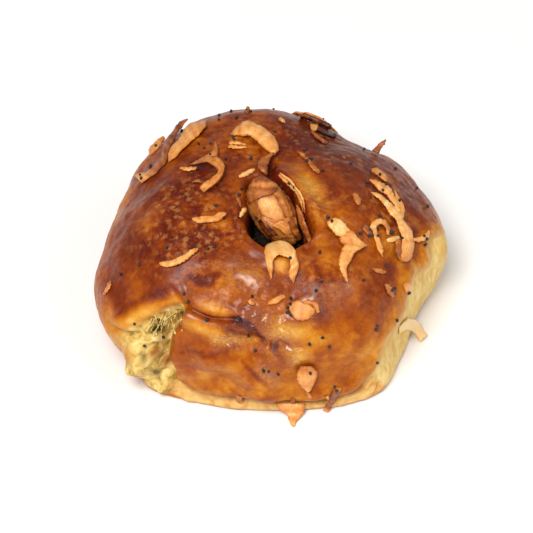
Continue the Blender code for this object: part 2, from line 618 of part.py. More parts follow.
def drop_scraps(mesh):
    """Keep the largest body of a mesh: a piece that the union didn't reach is dropped."""
    work = bmesh.new()
    work.from_mesh(mesh)
    left = set(work.verts)
    bodies = []
    while left:
        body, edge = set(), [left.pop()]
        while edge:
            vert = edge.pop()
            body.add(vert)
            fresh = {e.other_vert(vert) for e in vert.link_edges} & left
            left -= fresh
            edge += fresh
        bodies.append(body)
    main_body = max(bodies, key=len)
    bmesh.ops.delete(work, geom=[v for v in work.verts if v not in main_body], context="VERTS")
    work.to_mesh(mesh)
    work.free()


def join_into(node, extras, solver):
    """Fuse extra solids to a node by one union on a collection, then drop them."""
    group = bpy.data.collections.new(node.name + "_extras")
    bpy.context.scene.collection.children.link(group)
    for extra in extras:
        bpy.context.scene.collection.objects.unlink(extra)
        group.objects.link(extra)
    union = node.modifiers.new("fused", "BOOLEAN")
    union.operation = "UNION"
    union.operand_type = "COLLECTION"
    union.collection = group
    union.solver = solver
    bpy.context.view_layer.update()
    fused = bpy.data.meshes.new_from_object(node.evaluated_get(bpy.context.evaluated_depsgraph_get()))
    node.modifiers.clear()
    node.data = fused
    drop_scraps(fused)
    for extra in extras:
        bpy.data.objects.remove(extra)
    bpy.data.collections.remove(group)


def make_heart(tree, parent):
    """The folded onion heart that sits in the hollow: an oval turned to the hollow's long side."""
    place, _ = look_up(tree, *HEART_AT, FRONT)
    right, up, eye = sheet_axes(FRONT)
    c, s = math.cos(math.radians(HEART_TURN)), math.sin(math.radians(HEART_TURN))
    long_way, short_way = right * c - up * s, right * s + up * c
    middle = place + eye * HEART_STANDS
    long_half, short_half, high_half = HEART_HALF
    polar = np.linspace(0, math.pi, HEART_RINGS + 2)[1:-1, None, None]
    angle = np.linspace(0, 2 * math.pi, HEART_SIDES, endpoint=False)[None, :, None]
    rings = middle - long_way * long_half * np.cos(polar) + np.sin(polar) * (
        short_way * short_half * np.cos(angle) + eye * high_half * np.sin(angle)
    )
    points, faces = solid_of(rings)
    points[-2], points[-1] = middle - long_way * long_half, middle + long_way * long_half
    return add_node("onion_heart", points, faces, "brown", parent)


def make_onion(onion, tree, form_tree, parent):
    """One onion piece: its first strip, with any others fused to it."""
    parts = []
    for number, ribbon in enumerate(onion.ribbons):
        rings = ribbon_rings(ribbon, tree, form_tree, RIBBON_SECTIONS, GAP)
        name = onion.name if number == 0 else f"{onion.name}_{number}"
        parts.append(add_node(name, *solid_of(rings), onion.tone, parent))
    if len(parts) > 1:
        join_into(parts[0], parts[1:], "EXACT")
    return parts[0]


def seed_places(tree):
    """Drawn places and directions of the seeds, in groups over the sheet from the front and from behind."""
    rng = np.random.default_rng(SEED_DRAW)
    places = []
    for side, groups in ((FRONT, SEED_GROUPS), (BEHIND, BEHIND_SEED_GROUPS)):
        for across, down, spread, number in groups:
            for px, py in rng.normal((across, down), spread, (number, 2)):
                seen = look_up(tree, px, py, side)
                if seen is not None and seen[0][2] > WALL_HEIGHT / 2:
                    places.append(seen)
    return places


def in_hollow(point):
    """Whether a point lies over the hollow or on its walls."""
    px, py = sheet_dots(point[None])
    return bool(hollow_relief(px, py)[0] < -3.0)


def make_seeds(dough_tree, onion_tree, parent):
    """Seeds as small twenty-sided balls, clear of the onion pieces and of each other."""
    seeds, taken = [], []
    for place, normal in seed_places(dough_tree):
        centre = place + normal * SEED_STANDS
        near_onion = onion_tree.find_nearest(Vector(centre))[3] < SEED_RADIUS + SEED_CLEARANCE
        near_seed = any(np.linalg.norm(centre - other) < 2.6 * SEED_RADIUS for other in taken)
        if near_onion or near_seed or in_hollow(centre):
            continue
        work = bmesh.new()
        bmesh.ops.create_icosphere(work, subdivisions=1, radius=SEED_RADIUS)
        points = np.array([v.co for v in work.verts]) + centre
        faces = [[v.index for v in face.verts] for face in work.faces]
        work.free()
        seeds.append(add_node(f"seed_{len(seeds)}", points, faces, "burnt", parent))
        taken.append(centre)
    return seeds


def make_flakes(dough_tree, form_tree, parent):
    """Small flakes, half sunk in the dough."""
    flakes = []
    for number, ribbon in enumerate(FLAKES):
        rings = ribbon_rings(ribbon, dough_tree, form_tree, FLAKE_SECTIONS)
        flakes.append(add_node(f"flake_{number}", *solid_of(rings), "golden", parent))
    return flakes


def main():
    for old in list(bpy.data.objects):
        bpy.data.objects.remove(old)
    roll = bpy.data.objects.new("onion_roll", None)
    bpy.context.scene.collection.objects.link(roll)
    dough = add_node("dough", *roll_grid(dough_surface), "crust", roll, (0, 0, 0))
    bpy.context.view_layer.update()
    dough_tree = world_tree([dough])
    form_points, form_faces = roll_grid(base_form)
    form_tree = BVHTree.FromPolygons(form_points.tolist(), form_faces)
    laid = [dough, make_heart(dough_tree, roll)]
    for onion in ONIONS:
        bpy.context.view_layer.update()
        laid.append(make_onion(onion, world_tree(laid), form_tree, roll))
    bpy.context.view_layer.update()
    extras = make_flakes(dough_tree, form_tree, roll) + make_seeds(dough_tree, world_tree(laid[1:]), roll)
    join_into(dough, extras, "EXACT")


main()
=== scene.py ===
"""Looks of the onion roll: a glazed roll with a folded front and a torn corner, fried onion and poppy seeds.

Lengths are millimetres until a mesh is made, and +Z is up. Features are drawn on a slanted sheet, seen
from the front and from above, in dots of 0.3 mm counted from the sheet's upper left corner, and carried
straight away from the eye on to the dough. Pieces on the far side are drawn on that sheet from behind.
"""
import json
import math
from collections import namedtuple

import bpy
import numpy as np
from bpy.props import FloatProperty, FloatVectorProperty, IntProperty, PointerProperty
from mathutils import Matrix, Vector
from mathutils.bvhtree import BVHTree

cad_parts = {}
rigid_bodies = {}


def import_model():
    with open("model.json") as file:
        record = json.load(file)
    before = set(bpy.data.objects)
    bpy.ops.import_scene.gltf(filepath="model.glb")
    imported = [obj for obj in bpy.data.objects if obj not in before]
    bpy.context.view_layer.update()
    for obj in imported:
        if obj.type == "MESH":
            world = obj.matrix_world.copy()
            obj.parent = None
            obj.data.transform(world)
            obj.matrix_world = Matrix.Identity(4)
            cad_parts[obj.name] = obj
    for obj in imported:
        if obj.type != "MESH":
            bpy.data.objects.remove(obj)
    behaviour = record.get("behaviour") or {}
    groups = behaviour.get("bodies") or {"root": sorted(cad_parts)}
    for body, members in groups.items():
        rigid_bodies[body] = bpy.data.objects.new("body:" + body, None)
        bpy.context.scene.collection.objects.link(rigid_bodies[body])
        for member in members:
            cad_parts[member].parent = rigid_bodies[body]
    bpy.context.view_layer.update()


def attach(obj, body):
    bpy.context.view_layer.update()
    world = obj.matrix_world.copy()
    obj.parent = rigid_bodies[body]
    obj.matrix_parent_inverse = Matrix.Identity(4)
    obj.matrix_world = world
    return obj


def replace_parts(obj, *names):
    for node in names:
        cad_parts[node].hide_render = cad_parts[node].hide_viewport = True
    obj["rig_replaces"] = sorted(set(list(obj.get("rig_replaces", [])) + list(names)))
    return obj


bl_info = {
    "name": "Onion Roll",
    "version": (1, 0, 0),
    "blender": (4, 5, 0),
    "location": "3D View > Sidebar > Onion Roll",
    "description": "A glazed bread roll with a folded front, a torn corner, fried onion and poppy seeds",
    "category": "Add Mesh",
}

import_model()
MM = 0.001

# The slanted sheet: its tilt, the eye's distance, its side and middle in dots, and the point at its middle
SHEET_TILT = math.radians(45)
SHEET_DISTANCE = 800.0
SHEET_SIDE = 533
SHEET_MIDDLE = SHEET_SIDE / 2
DOT = 0.30
AIM = np.array([-2.0, 0.0, 10.0])
# The turn about the roll of the sheet's two sides
FRONT, BEHIND = 0.0, math.pi
# Sine waves in each ripple
RIPPLE_WAVES = 14

# Driving dimensions of the dough
HEIGHT = 49.0
WALL_HEIGHT = 17.0
TOP_RADIUS = 50.0
TOP_LEAN = -4.0
FOOT_ROUNDING = 1.2
# Degrees round from +X, and the radius there
OUTLINE = (
    (0, 52.5), (30, 49), (60, 46), (90, 46.5), (120, 46), (150, 44.5), (175, 46), (195, 52), (212, 57),
    (228, 57.3), (243, 53), (262, 50.2), (280, 50.2), (295, 52.2), (307, 52.5), (322, 48), (342, 47.5),
)
# Degrees, and the power of the dome's rounded profile: 2 is an ellipse, more is fuller
FULLNESS = (
    (0, 2.4), (45, 1.8), (90, 2.35), (135, 2.42), (165, 2.25), (195, 2.3), (225, 2.5), (270, 2.5),
    (315, 2.5),
)
# Degrees, and the share of the radius by which the wall pulls in at the foot
TUCK = (
    (0, 0.12), (45, 0.05), (90, 0.06), (135, 0.08), (180, 0.18), (200, 0.22), (216, 0.16), (228, 0.055),
    (245, 0.02), (270, 0.0), (300, 0.0), (325, 0.01), (340, 0.08),
)
# Where the wall and the foot start, as shares of the way from the top to the middle of the foot
WALL_START, FOOT_START = 0.60, 0.82
# Shares of the crust's rows that lie on the dome and on the wall, and where its columns crowd, by how much
DOME_SHARE, WALL_SHARE = 0.62, 0.27
CROWDED_AT, CROWDING = math.radians(-100), 0.30

# A leaf's mesh, the stations at which it is laid on what is below, and the passes that keep it stiff
SECTIONS, LEAF_COLUMNS = 64, 14
STATIONS = 13
STIFFNESS = 6
# Wavers of a leaf's edges: height in dots, wavelength in millimetres and draw
EDGE_WAVERS = ((0.32, 4.5, 90), (0.22, 1.4, 95))
# Heights in millimetres of a leaf's swell and of its flutes, and the thickness of a skin of the heart
LEAF_SWELL, FLUTE_HEIGHT, SKIN_THICKNESS = 0.12, 0.09, 0.35
# How far apart the fibre patterns of two leaves lie
STRIP_STEP = 7.3
# The share of its length over which a leaf's wavers and tilt fade at either end
LEAF_FADE = 0.1

# A curled leaf of onion, drawn by its two edges on the sheet. Its lift over what lies below, at its
# start, middle and end; the height of its arched middle; how far its left and right edges turn up; how
# brown it is at its start, middle and end; and the side of the sheet that it is drawn on.
Leaf = namedtuple("Leaf", "left right lift cup tilt toast side", defaults=(FRONT,))
Onion = namedtuple("Onion", "name tone leaves")


def strip_edges(route, widths):
    """Both edges of a strip along a route on the sheet, its width in dots at start, middle and end."""
    count = 2 * len(route) - 1
    middle = open_curve(route, count)
    way = np.gradient(middle, axis=0)
    across = np.stack([way[:, 1], -way[:, 0]], -1) / np.linalg.norm(way, axis=1)[:, None]
    half = between(widths, np.linspace(0, 1, count))[:, None] / 2
    return middle - across * half, middle + across * half


def smooth(x, low, high):
    """Smooth step: 0 below low, 1 above high."""
    t = np.clip((x - low) / (high - low), 0, 1)
    return t * t * (3 - 2 * t)


def open_curve(route, steps):
    """Points evenly spread along a smooth curve through the route's own points."""
    p = np.array(route, float)
    p = np.vstack([2 * p[0] - p[1], p, 2 * p[-1] - p[-2]])
    t = np.linspace(0, 1, 12, endpoint=False)[:, None]
    dense = []
    for a, b, c, d in zip(p, p[1:], p[2:], p[3:]):
        square, cube = 2 * a - 5 * b + 4 * c - d, 3 * b - a - 3 * c + d
        dense.append(0.5 * (2 * b + (c - a) * t + square * t**2 + cube * t**3))
    dense = np.vstack(dense + [p[-2:-1]])
    way = np.concatenate([[0], np.cumsum(np.linalg.norm(np.diff(dense, axis=0), axis=1))])
    even = np.linspace(0, way[-1], steps)
    return np.stack([np.interp(even, way, dense[:, k]) for k in range(dense.shape[1])], -1)


def between(triple, share):
    """A value that starts, passes its middle and ends as the triple says."""
    first, middle, last = triple
    rise = np.sin(np.clip(2 * share, 0, 1) * math.pi / 2) ** 0.8
    fall = np.sin(np.clip(2 - 2 * share, 0, 1) * math.pi / 2) ** 0.8
    return np.where(share < 0.5, first + (middle - first) * rise, last + (middle - last) * fall)


ONIONS = (
    Onion("onion_crest_long", "brown", (
        Leaf(((188, 119), (180, 122), (173, 131), (164, 144), (160, 158), (149, 170), (134, 175)),
             ((188, 120), (184, 125), (178, 133), (171, 147), (167, 161), (156, 173), (142, 183)),
             (1.4, 0.8, 0.5), 0.9, (0.2, 0.6), (0.72, 0.66, 0.22)),)),
    Onion("onion_crest_broad", "golden", (
        Leaf(((206, 121), (196, 122), (187, 126), (179, 139), (170, 149), (168, 162)),
             ((206.5, 126), (200, 134), (191, 142), (184, 148), (177, 156), (169, 162.5)),
             (1.2, 1.0, 0.3), 0.8, (0, 0.7), (0.50, 0.28, 0.48)),)),
    Onion("onion_crest_edge", "golden", (
        Leaf(((164, 136), (156, 141), (150, 148), (149, 154)),
             ((165.5, 139), (161, 145), (156, 151), (150, 155.5)),
             (0.4, 0.7, 0.2), 0.5, (0, 0), (0.45, 0.36, 0.45)),)),
    Onion("onion_hook_left", "golden", (
        Leaf(((190, 165.5), (203, 163), (210, 163.5), (218, 172), (209, 180), (200, 187), (203, 192)),
             ((190, 164.5), (203, 158), (217, 157), (225, 167), (220, 180), (207, 190.5), (203.5, 192.5)),
             (0.7, 3.2, 0.6), 0.7, (0.9, 0.2), (0.62, 0.46, 0.28)),
        Leaf(((215, 142), (213, 150), (207, 155), (202, 158)),
             ((216, 142), (218, 148), (218, 154), (216, 159)),
             (1.4, 1.0, 0.9), 0.3, (0, 0.9), (0.60, 0.50, 0.45)),)),
    Onion("onion_crescent", "golden", (
        Leaf(((231, 135), (242, 136.5), (250, 136.5), (258, 143), (264, 149), (272, 154)),
             ((230.5, 134), (237, 127), (247, 121), (262, 127), (275, 138), (278.5, 149), (274, 155.5)),
             (0.2, 1.8, 3.0), 1.9, (0.1, 0.2), (0.52, 0.24, 0.34)),
        Leaf(((275, 152), (270, 160), (268, 167), (267, 176.5)),
             ((271, 154), (261, 158), (257.5, 167), (265, 176)),
             (2.6, 2.0, 0.6), 0.3, (1.2, 0.0), (0.50, 0.62, 0.62)),)),
    Onion("onion_pair_left", "golden", (
        Leaf(((229, 144), (238, 145), (246.5, 145.5)), ((230, 141), (238, 141.5), (246, 144)),
             (0.2, 0.5, 0.2), 0.3, (0, 0), (0.35, 0.30, 0.45)),
        Leaf(((228, 148), (237, 149), (247, 148)), ((229, 145), (238, 145.5), (246, 146)),
             (0.2, 0.4, 0.2), 0.3, (0, 0), (0.35, 0.30, 0.45)),)),
    Onion("onion_flat_left", "golden", (
        Leaf(((192, 220), (199, 223.5), (208, 222), (218, 221.5), (226.5, 214.5)),
             ((192, 218), (202, 216), (211.5, 216), (220, 212), (226.5, 212.5)),
             (0.1, 0.4, 0.2), 0.4, (0.1, 0.3), (0.45, 0.32, 0.45)),)),
    Onion("onion_arc_left", "golden", (
        Leaf(((160, 265), (167, 267), (174, 266), (182, 262.5), (190, 257.5), (198.5, 249.5)),
             ((159, 262.5), (167, 261), (175, 259), (183, 255), (190, 250.5), (198, 247.5)),
             (0.1, 0.7, 0.3), 0.6, (0.1, 0.2), (0.32, 0.22, 0.40)),)),
    Onion("onion_rim_upper", "pale", (
        Leaf(((278.5, 176), (284, 182), (290, 187.5), (295, 193), (299, 200), (303, 212)),
             ((279, 174), (285.5, 179), (291.5, 185.5), (296.5, 191), (301, 199), (303.5, 212)),
             (0.3, 0.6, 0.3), 0.1, (0.0, 0.0), (0.35, 0.24, 0.45)),
        Leaf(((281, 175.5), (289, 182), (296, 190.5), (301.5, 199.5), (304.5, 213)),
             ((279.5, 172.5), (287, 176.5), (294, 184), (300, 192), (304, 201), (305.5, 213.5)),
             (0.5, 1.1, 0.4), 0.4, (0.0, 0.3), (0.30, 0.18, 0.45)),)),
    Onion("onion_rim_lower", "brown", (
        Leaf(((296, 205), (297, 214), (298.5, 222), (301, 229), (304.5, 235), (308, 242)),
             ((298, 205), (302, 212), (305, 221), (308, 229), (311.5, 238), (309, 242)),
             (0.4, 1.0, 0.5), 0.5, (0.5, 0.3), (0.45, 0.60, 0.60)),)),
    Onion("onion_arch", "golden", (
        Leaf(((271.5, 279), (273, 270), (273.5, 260), (278, 255.5), (285, 256), (290, 261), (290, 269),
               (288, 274), (293, 283)),
             ((271, 279.5), (267, 267), (264.5, 255), (266.5, 245), (278, 240.8), (289, 243), (296, 253),
               (298.5, 267), (293.5, 284)),
             (0.3, 1.3, 0.3), 1.0, (0.2, 0.0), (0.48, 0.14, 0.48)),)),
    Onion("onion_fork", "golden", (
        Leaf(((397, 239), (394.5, 247), (396.5, 256), (401, 261.5)),
             ((401, 240), (402, 247), (402.5, 255), (404, 261)),
             (0.5, 0.7, 0.4), 0.5, (0.2, 0.0), (0.50, 0.62, 0.52)),
        Leaf(((393.5, 213), (395, 219), (398, 227), (401, 236), (401.5, 247), (400, 256), (402.5, 261.5)),
             ((402, 213), (402.5, 219), (408, 226), (412.5, 234), (413.5, 247), (411.5, 257), (407, 262)),
             (0.9, 1.4, 0.6), 0.9, (0.1, 0.2), (0.18, 0.22, 0.48)),
        Leaf(((401, 229), (404, 240), (405, 252)), ((404, 228), (408, 240), (408, 253)),
             (0.9, 1.3, 0.5), 0.2, (0.2, 0.2), (0.46, 0.44, 0.58)),
        Leaf(((371, 193), (378, 198.5), (384, 204.5), (388, 212), (394, 218.5), (398, 222)),
             ((370.5, 192), (376.5, 193), (383, 196.5), (390, 203), (398, 209.5), (404, 217)),
             (0.4, 1.2, 1.6), 0.6, (0.3, 0.1), (0.34, 0.12, 0.16)),
        Leaf(((370, 181), (374, 185), (379, 190.5), (386, 195), (393, 204), (397, 214)),
             ((369, 179.5), (378, 181), (385, 184.5), (391.5, 190.5), (397, 201), (402, 213)),
             (0.3, 1.1, 1.8), 0.6, (0.1, 0.2), (0.40, 0.22, 0.18)),
        Leaf(((393.5, 190), (395, 197), (397, 206), (397, 216)),
             ((394.5, 190), (398.5, 197), (404, 207), (403.5, 217)),
             (0.4, 1.2, 1.9), 0.5, (0.0, 0.3), (0.42, 0.30, 0.28)),)),
    Onion("onion_fork_tip", "golden", (
        Leaf(((371.5, 172), (378, 175.5), (384, 181), (389.5, 184)),
             ((371.5, 169), (376.5, 168), (384, 173), (390, 181)),
             (0.2, 0.6, 0.3), 0.5, (0, 0.2), (0.40, 0.38, 0.66)),)),
    Onion("onion_hook_right", "golden", (
        Leaf(((341, 243), (346, 246), (351, 248), (357, 249), (367, 246)),
             ((339, 238), (345, 232), (352, 231), (358, 238), (367, 245)),
             (0.5, 1.4, 0.5), 0.9, (0.1, 0.5), (0.55, 0.26, 0.34)),
        Leaf(((345, 244), (341, 251), (338.5, 262), (341, 272), (346, 281.5)),
             ((364, 247), (356, 252), (350, 261), (346.5, 270), (348, 283)),
             (1.2, 1.5, 0.3), 0.9, (0.2, 0.3), (0.24, 0.26, 0.40)),
        Leaf(((328, 226), (333, 232), (338, 236), (345, 238), (350, 239)),
             ((327, 222), (334, 218), (341, 220), (347, 226.5), (352, 232)),
             (0.4, 1.2, 1.3), 1.0, (0.2, 0.4), (0.28, 0.08, 0.38)),)),
    Onion("onion_bend_right", "golden", (
        Leaf(((372, 228), (374, 238), (377, 248), (382, 257.5)),
             ((376, 228), (379, 238), (382.5, 247), (383, 257)),
             (1.0, 0.9, 0.2), 0.4, (0.1, 0.2), (0.35, 0.32, 0.45)),
        Leaf(((374, 231), (377, 226), (381, 224), (386, 225)),
             ((369, 230), (372, 222.5), (378, 218.5), (386, 220.5)),
             (0.8, 1.4, 0.5), 0.5, (0.1, 0.2), (0.38, 0.16, 0.36)),
        Leaf(((382, 224), (385.5, 229), (387, 235)), ((386, 221), (390, 228), (390, 235)),
             (0.9, 0.6, 0.2), 0.3, (0, 0), (0.40, 0.42, 0.55)),)),
    Onion("onion_arc_right", "pale", (
        Leaf(((413.5, 241), (420, 242), (427, 238.5), (430, 232)),
             ((413.5, 238), (421, 236.5), (425, 234), (428.5, 230)),
             (0.2, 0.6, 0.3), 0.4, (0.2, 0.1), (0.30, 0.18, 0.40)),)),
    Onion("onion_burnt_top", "burnt", (
        Leaf(((300.5, 118), (306, 119.5), (311, 122), (318, 125), (325, 128.5), (331, 129)),
             ((299.5, 115), (305, 113.5), (310, 115.5), (317, 118), (323, 121), (331.5, 125)),
             (0.0, 0.5, 0.3), 0.4, (0.0, 0.5), (0.74, 0.82, 0.86)),
        Leaf(((316, 130), (325, 134.5), (332, 137), (337, 136)),
             ((316, 124), (322, 126), (329, 129.5), (337, 134.5)),
             (0.6, 1.3, 0.5), 0.5, (0.8, 0.0), (0.62, 0.90, 0.94)),
        Leaf(((311, 130), (315, 130.5), (319, 129)), ((310, 124.5), (314, 122), (319, 124.5)),
             (0.5, 1.0, 0.6), 0.4, (0.2, 0.0), (0.36, 0.22, 0.40)),
        Leaf(((311, 132.5), (317, 139), (326, 144.5)), ((312.5, 130.5), (320, 136.5), (328, 142)),
             (0.3, 0.6, 0.3), 0.2, (0, 0), (0.55, 0.62, 0.74)),)),
    Onion("onion_spike_top", "brown", (
        Leaf(((378, 154), (382, 148), (386, 140.5)), ((372, 151), (379, 143.5), (385.5, 139.5)),
             (0.3, 0.6, 1.2), 0.3, (0, 0), (0.70, 0.60, 0.66)),)),
    Onion("onion_sliver_top", "brown", (
        Leaf(((297, 152.5), (304, 158.5), (310, 167), (318, 174)),
             ((297.5, 151), (304, 154), (311, 161.5), (321, 172)),
             (0.2, 0.4, 0.2), 0.3, (0, 0.1), (0.60, 0.52, 0.62)),)),
    Onion("onion_front_flake", "golden", (
        Leaf(((300, 366), (296.5, 373), (297.5, 381), (302.5, 388), (307.5, 392)),
             ((312, 366), (317, 372), (315.5, 381), (312, 388), (308.5, 392.5)),
             (0.3, 1.0, 0.5), 1.3, (0.2, 0.2), (0.58, 0.30, 0.34)),)),
    Onion("onion_front_film", "golden", (
        Leaf(((288, 308), (293, 316), (300, 321), (308, 319), (314, 314)),
             ((289, 304), (296, 300), (303, 302), (309, 304), (316, 309)),
             (-0.1, 0.1, -0.1), 0.1, (0.0, 0.1), (0.44, 0.34, 0.42)),
        Leaf(((303, 304), (309, 304.5), (314, 307.5), (317, 313)),
             ((303, 301.5), (311, 300), (318, 304), (320, 312)),
             (0.0, 0.3, 0.1), 0.5, (0.0, 0.2), (0.42, 0.48, 0.40)),)),
    Onion("onion_floor_flake", "golden", (
        Leaf(((275, 402), (278, 408), (286, 414), (289.5, 421), (292.5, 427.5)),
             ((305, 403), (305, 410), (300.5, 416), (296.5, 422), (293.5, 427.5)),
             (0.6, 0.9, 0.1), 0.5, (0.2, 0.2), (0.30, 0.26, 0.22)),)),
    Onion("onion_foot_strip", "burnt", (
        Leaf(((336, 387), (331, 394), (328, 402), (323, 410)),
             ((342, 388), (337, 396), (333, 404), (327, 413)),
             (0.1, 0.4, 0.1), 0.3, (0.3, 0.2), (0.52, 0.68, 0.36)),)),
    Onion("onion_wall_strip", "pale", (
        Leaf(((399, 334), (406, 329.5), (412.5, 331.5), (419.5, 341)),
             ((399, 326), (408, 318.5), (418, 322), (427, 335)),
             (0.1, 0.9, 1.0), 0.5, (0.0, 0.3), (-0.10, -0.12, -0.04)),)),
    Onion("onion_behind_arc", "golden", (
        Leaf(*strip_edges(((190, 322), (206, 311), (226, 309), (242, 318)), (2, 12, 3)),
             (0.3, 1.4, 0.3), 0.8, (0.1, 0.2), (0.45, 0.24, 0.45), BEHIND),)),
    Onion("onion_behind_long", "brown", (
        Leaf(*strip_edges(((322, 322), (336, 323), (347, 331), (353, 345)), (2, 8, 3)),
             (0.2, 0.5, 0.3), 0.6, (0.4, 0.1), (0.72, 0.62, 0.70), BEHIND),)),
    Onion("onion_behind_hook", "golden", (
        Leaf(*strip_edges(((268, 332), (284, 326), (296, 336), (294, 352)), (2, 9, 3)),
             (0.3, 1.2, 0.3), 0.7, (0.1, 0.3), (0.45, 0.28, 0.45), BEHIND),)),
)
# Small flakes that lie half sunk in the dough: route, width in dots and toast
FLAKES = (
    (((180, 168), (188, 169), (197, 168)), (2, 4, 2), 0.25),
    (((239, 177), (247, 173), (255, 169.5)), (2, 5, 2), 0.12),
    (((268, 304), (276, 300), (285, 296)), (2, 6, 3), 0.34),
    (((387, 241), (393, 239), (400, 238)), (3, 6, 3), 0.1),
    (((363, 226), (368, 230), (372, 236)), (5, 8, 5), 0.62),
    (((372, 268), (379, 271), (386, 272)), (2, 5, 2), 0.48),
    (((405, 283), (408, 288), (407, 294)), (4, 7, 5), 0.3),
    (((385, 284), (389, 289), (393, 297)), (3, 6, 3), 0.5),
    (((104, 295), (108, 288), (111, 281)), (2, 4, 2), 0.42),
    (((237, 396), (240, 400), (242, 403)), (4, 6, 3), 0.42),
    (((354, 193), (357, 199), (359, 205)), (3, 7, 3), 0.5),
    (((246, 113), (247.5, 110), (248, 106.5)), (5, 4, 1), 0.58),
    (((192, 182), (197, 181), (202, 183)), (1, 3, 1), 0.58), (((279, 118), (285, 123)), (2, 3, 1), 0.3),
    (((240, 217), (243, 212), (246, 208)), (2, 5, 2), 0.14),
    (((306.5, 391), (309, 395), (311, 399)), (3, 3, 2), 0.4), (((327, 396), (330, 401)), (3, 3, 2), 0.3),
    (((291, 405), (293, 401), (295, 399)), (5, 6, 4), 0.6),
    (((236, 196), (239, 201), (241, 207)), (2, 4, 2), 0.62),
    (((249, 300), (252, 303), (255, 302)), (4, 5, 3), 0.42),
)

SEED_DRAW = 5
# Groups of seeds: middle across and down the sheet, spread and number
SEED_GROUPS = (
    (142, 178, 2, 2), (151, 170, 2, 2), (162, 147, 6, 2), (178, 147, 14, 2), (200, 147, 3, 2),
    (197, 170, 1, 1), (217, 150, 5, 2), (226, 160, 1, 1), (235, 139, 3, 3), (251, 158, 1, 1),
    (259, 112, 8, 2), (274, 132, 1, 1), (214, 206, 1, 1), (241, 197, 4, 2), (258, 217, 1, 1),
    (224, 217, 1, 1), (254, 240, 1, 1), (209, 249, 2, 2), (184, 252, 8, 2), (139, 264, 1, 1),
    (276, 187, 2, 1), (294, 186, 2, 2), (303, 150, 1, 1), (311, 161, 2, 2), (323, 171, 1, 1),
    (312, 121, 1, 1), (351, 164, 1, 1), (394, 169, 1, 1), (380, 175, 1, 1), (368, 184, 1, 1),
    (386, 187, 3, 4), (375, 199, 1, 1), (400, 199, 2, 2), (418, 189, 1, 1), (428, 207, 1, 1),
    (330, 220, 4, 2), (379, 217, 1, 1), (394, 222, 1, 1), (364, 232, 4, 4), (376, 228, 1, 1),
    (392, 232, 1.5, 2), (404, 233, 4, 2), (372, 243, 7, 2), (423, 236, 5, 3), (319, 252, 1, 1),
    (289, 256, 1, 1), (387, 267, 1, 1), (122, 274, 2, 1), (188, 298, 2.5, 2), (253, 297, 1, 1),
    (133, 325, 1, 1), (209, 320, 1, 1), (239, 318, 1.6, 2), (164, 338, 1, 1), (145, 346, 1, 1),
    (250, 335, 1, 1), (258, 349, 4, 3), (263, 371, 1, 1), (275, 368, 4, 2), (179, 387, 1, 1),
    (321, 281, 1, 1), (361, 281, 1, 1), (314, 290, 1, 1), (288, 304, 5, 4), (291, 316, 1, 1),
    (393, 293, 4, 2), (409, 294, 1, 1), (396, 319, 1, 1), (377, 327, 2, 2), (321, 337, 1, 1),
    (309, 345, 1, 1), (329, 347, 1.4, 2), (375, 362, 1, 1), (309, 375, 1, 1), (336, 388, 2, 2),
)
BEHIND_SEED_GROUPS = ((200, 310, 34, 12), (330, 300, 34, 12))
# A seed's mesh
SEED_COLUMNS, SEED_ROWS = 10, 6
# How far a seed's middle stands over what it lies on, and how close two seeds may be, in seed radii
SEED_STANDS, SEED_APART = 0.55, 2.2
# A seed's half sizes and the depth of its dent, in seed radii
SEED_HALF, SEED_DENT = (0.92, 0.86, 1.12), 0.28
# The sides and steps of a strand of crumb, and where the torn lip that the strands hang from starts and how
# it runs, in dots
STRAND_SIDES, STRAND_STEPS = 8, 14
LIP_START, LIP_RUN = (150, 321), (30, -9)

# The folded onion heart in the hollow: its middle and turn on the sheet, half sizes, and height over the
# hollow's floor
HEART_AT = (272, 210)
HEART_TURN = 61.0
HEART_HALF = (10.2, 5.6, 4.6)
HEART_STANDS = 9.6
# Where the random draws of the heart's skins, the small flakes and the strands start
HEART_DRAW, FLAKE_DRAW, STRAND_DRAW = 200, 300, 11
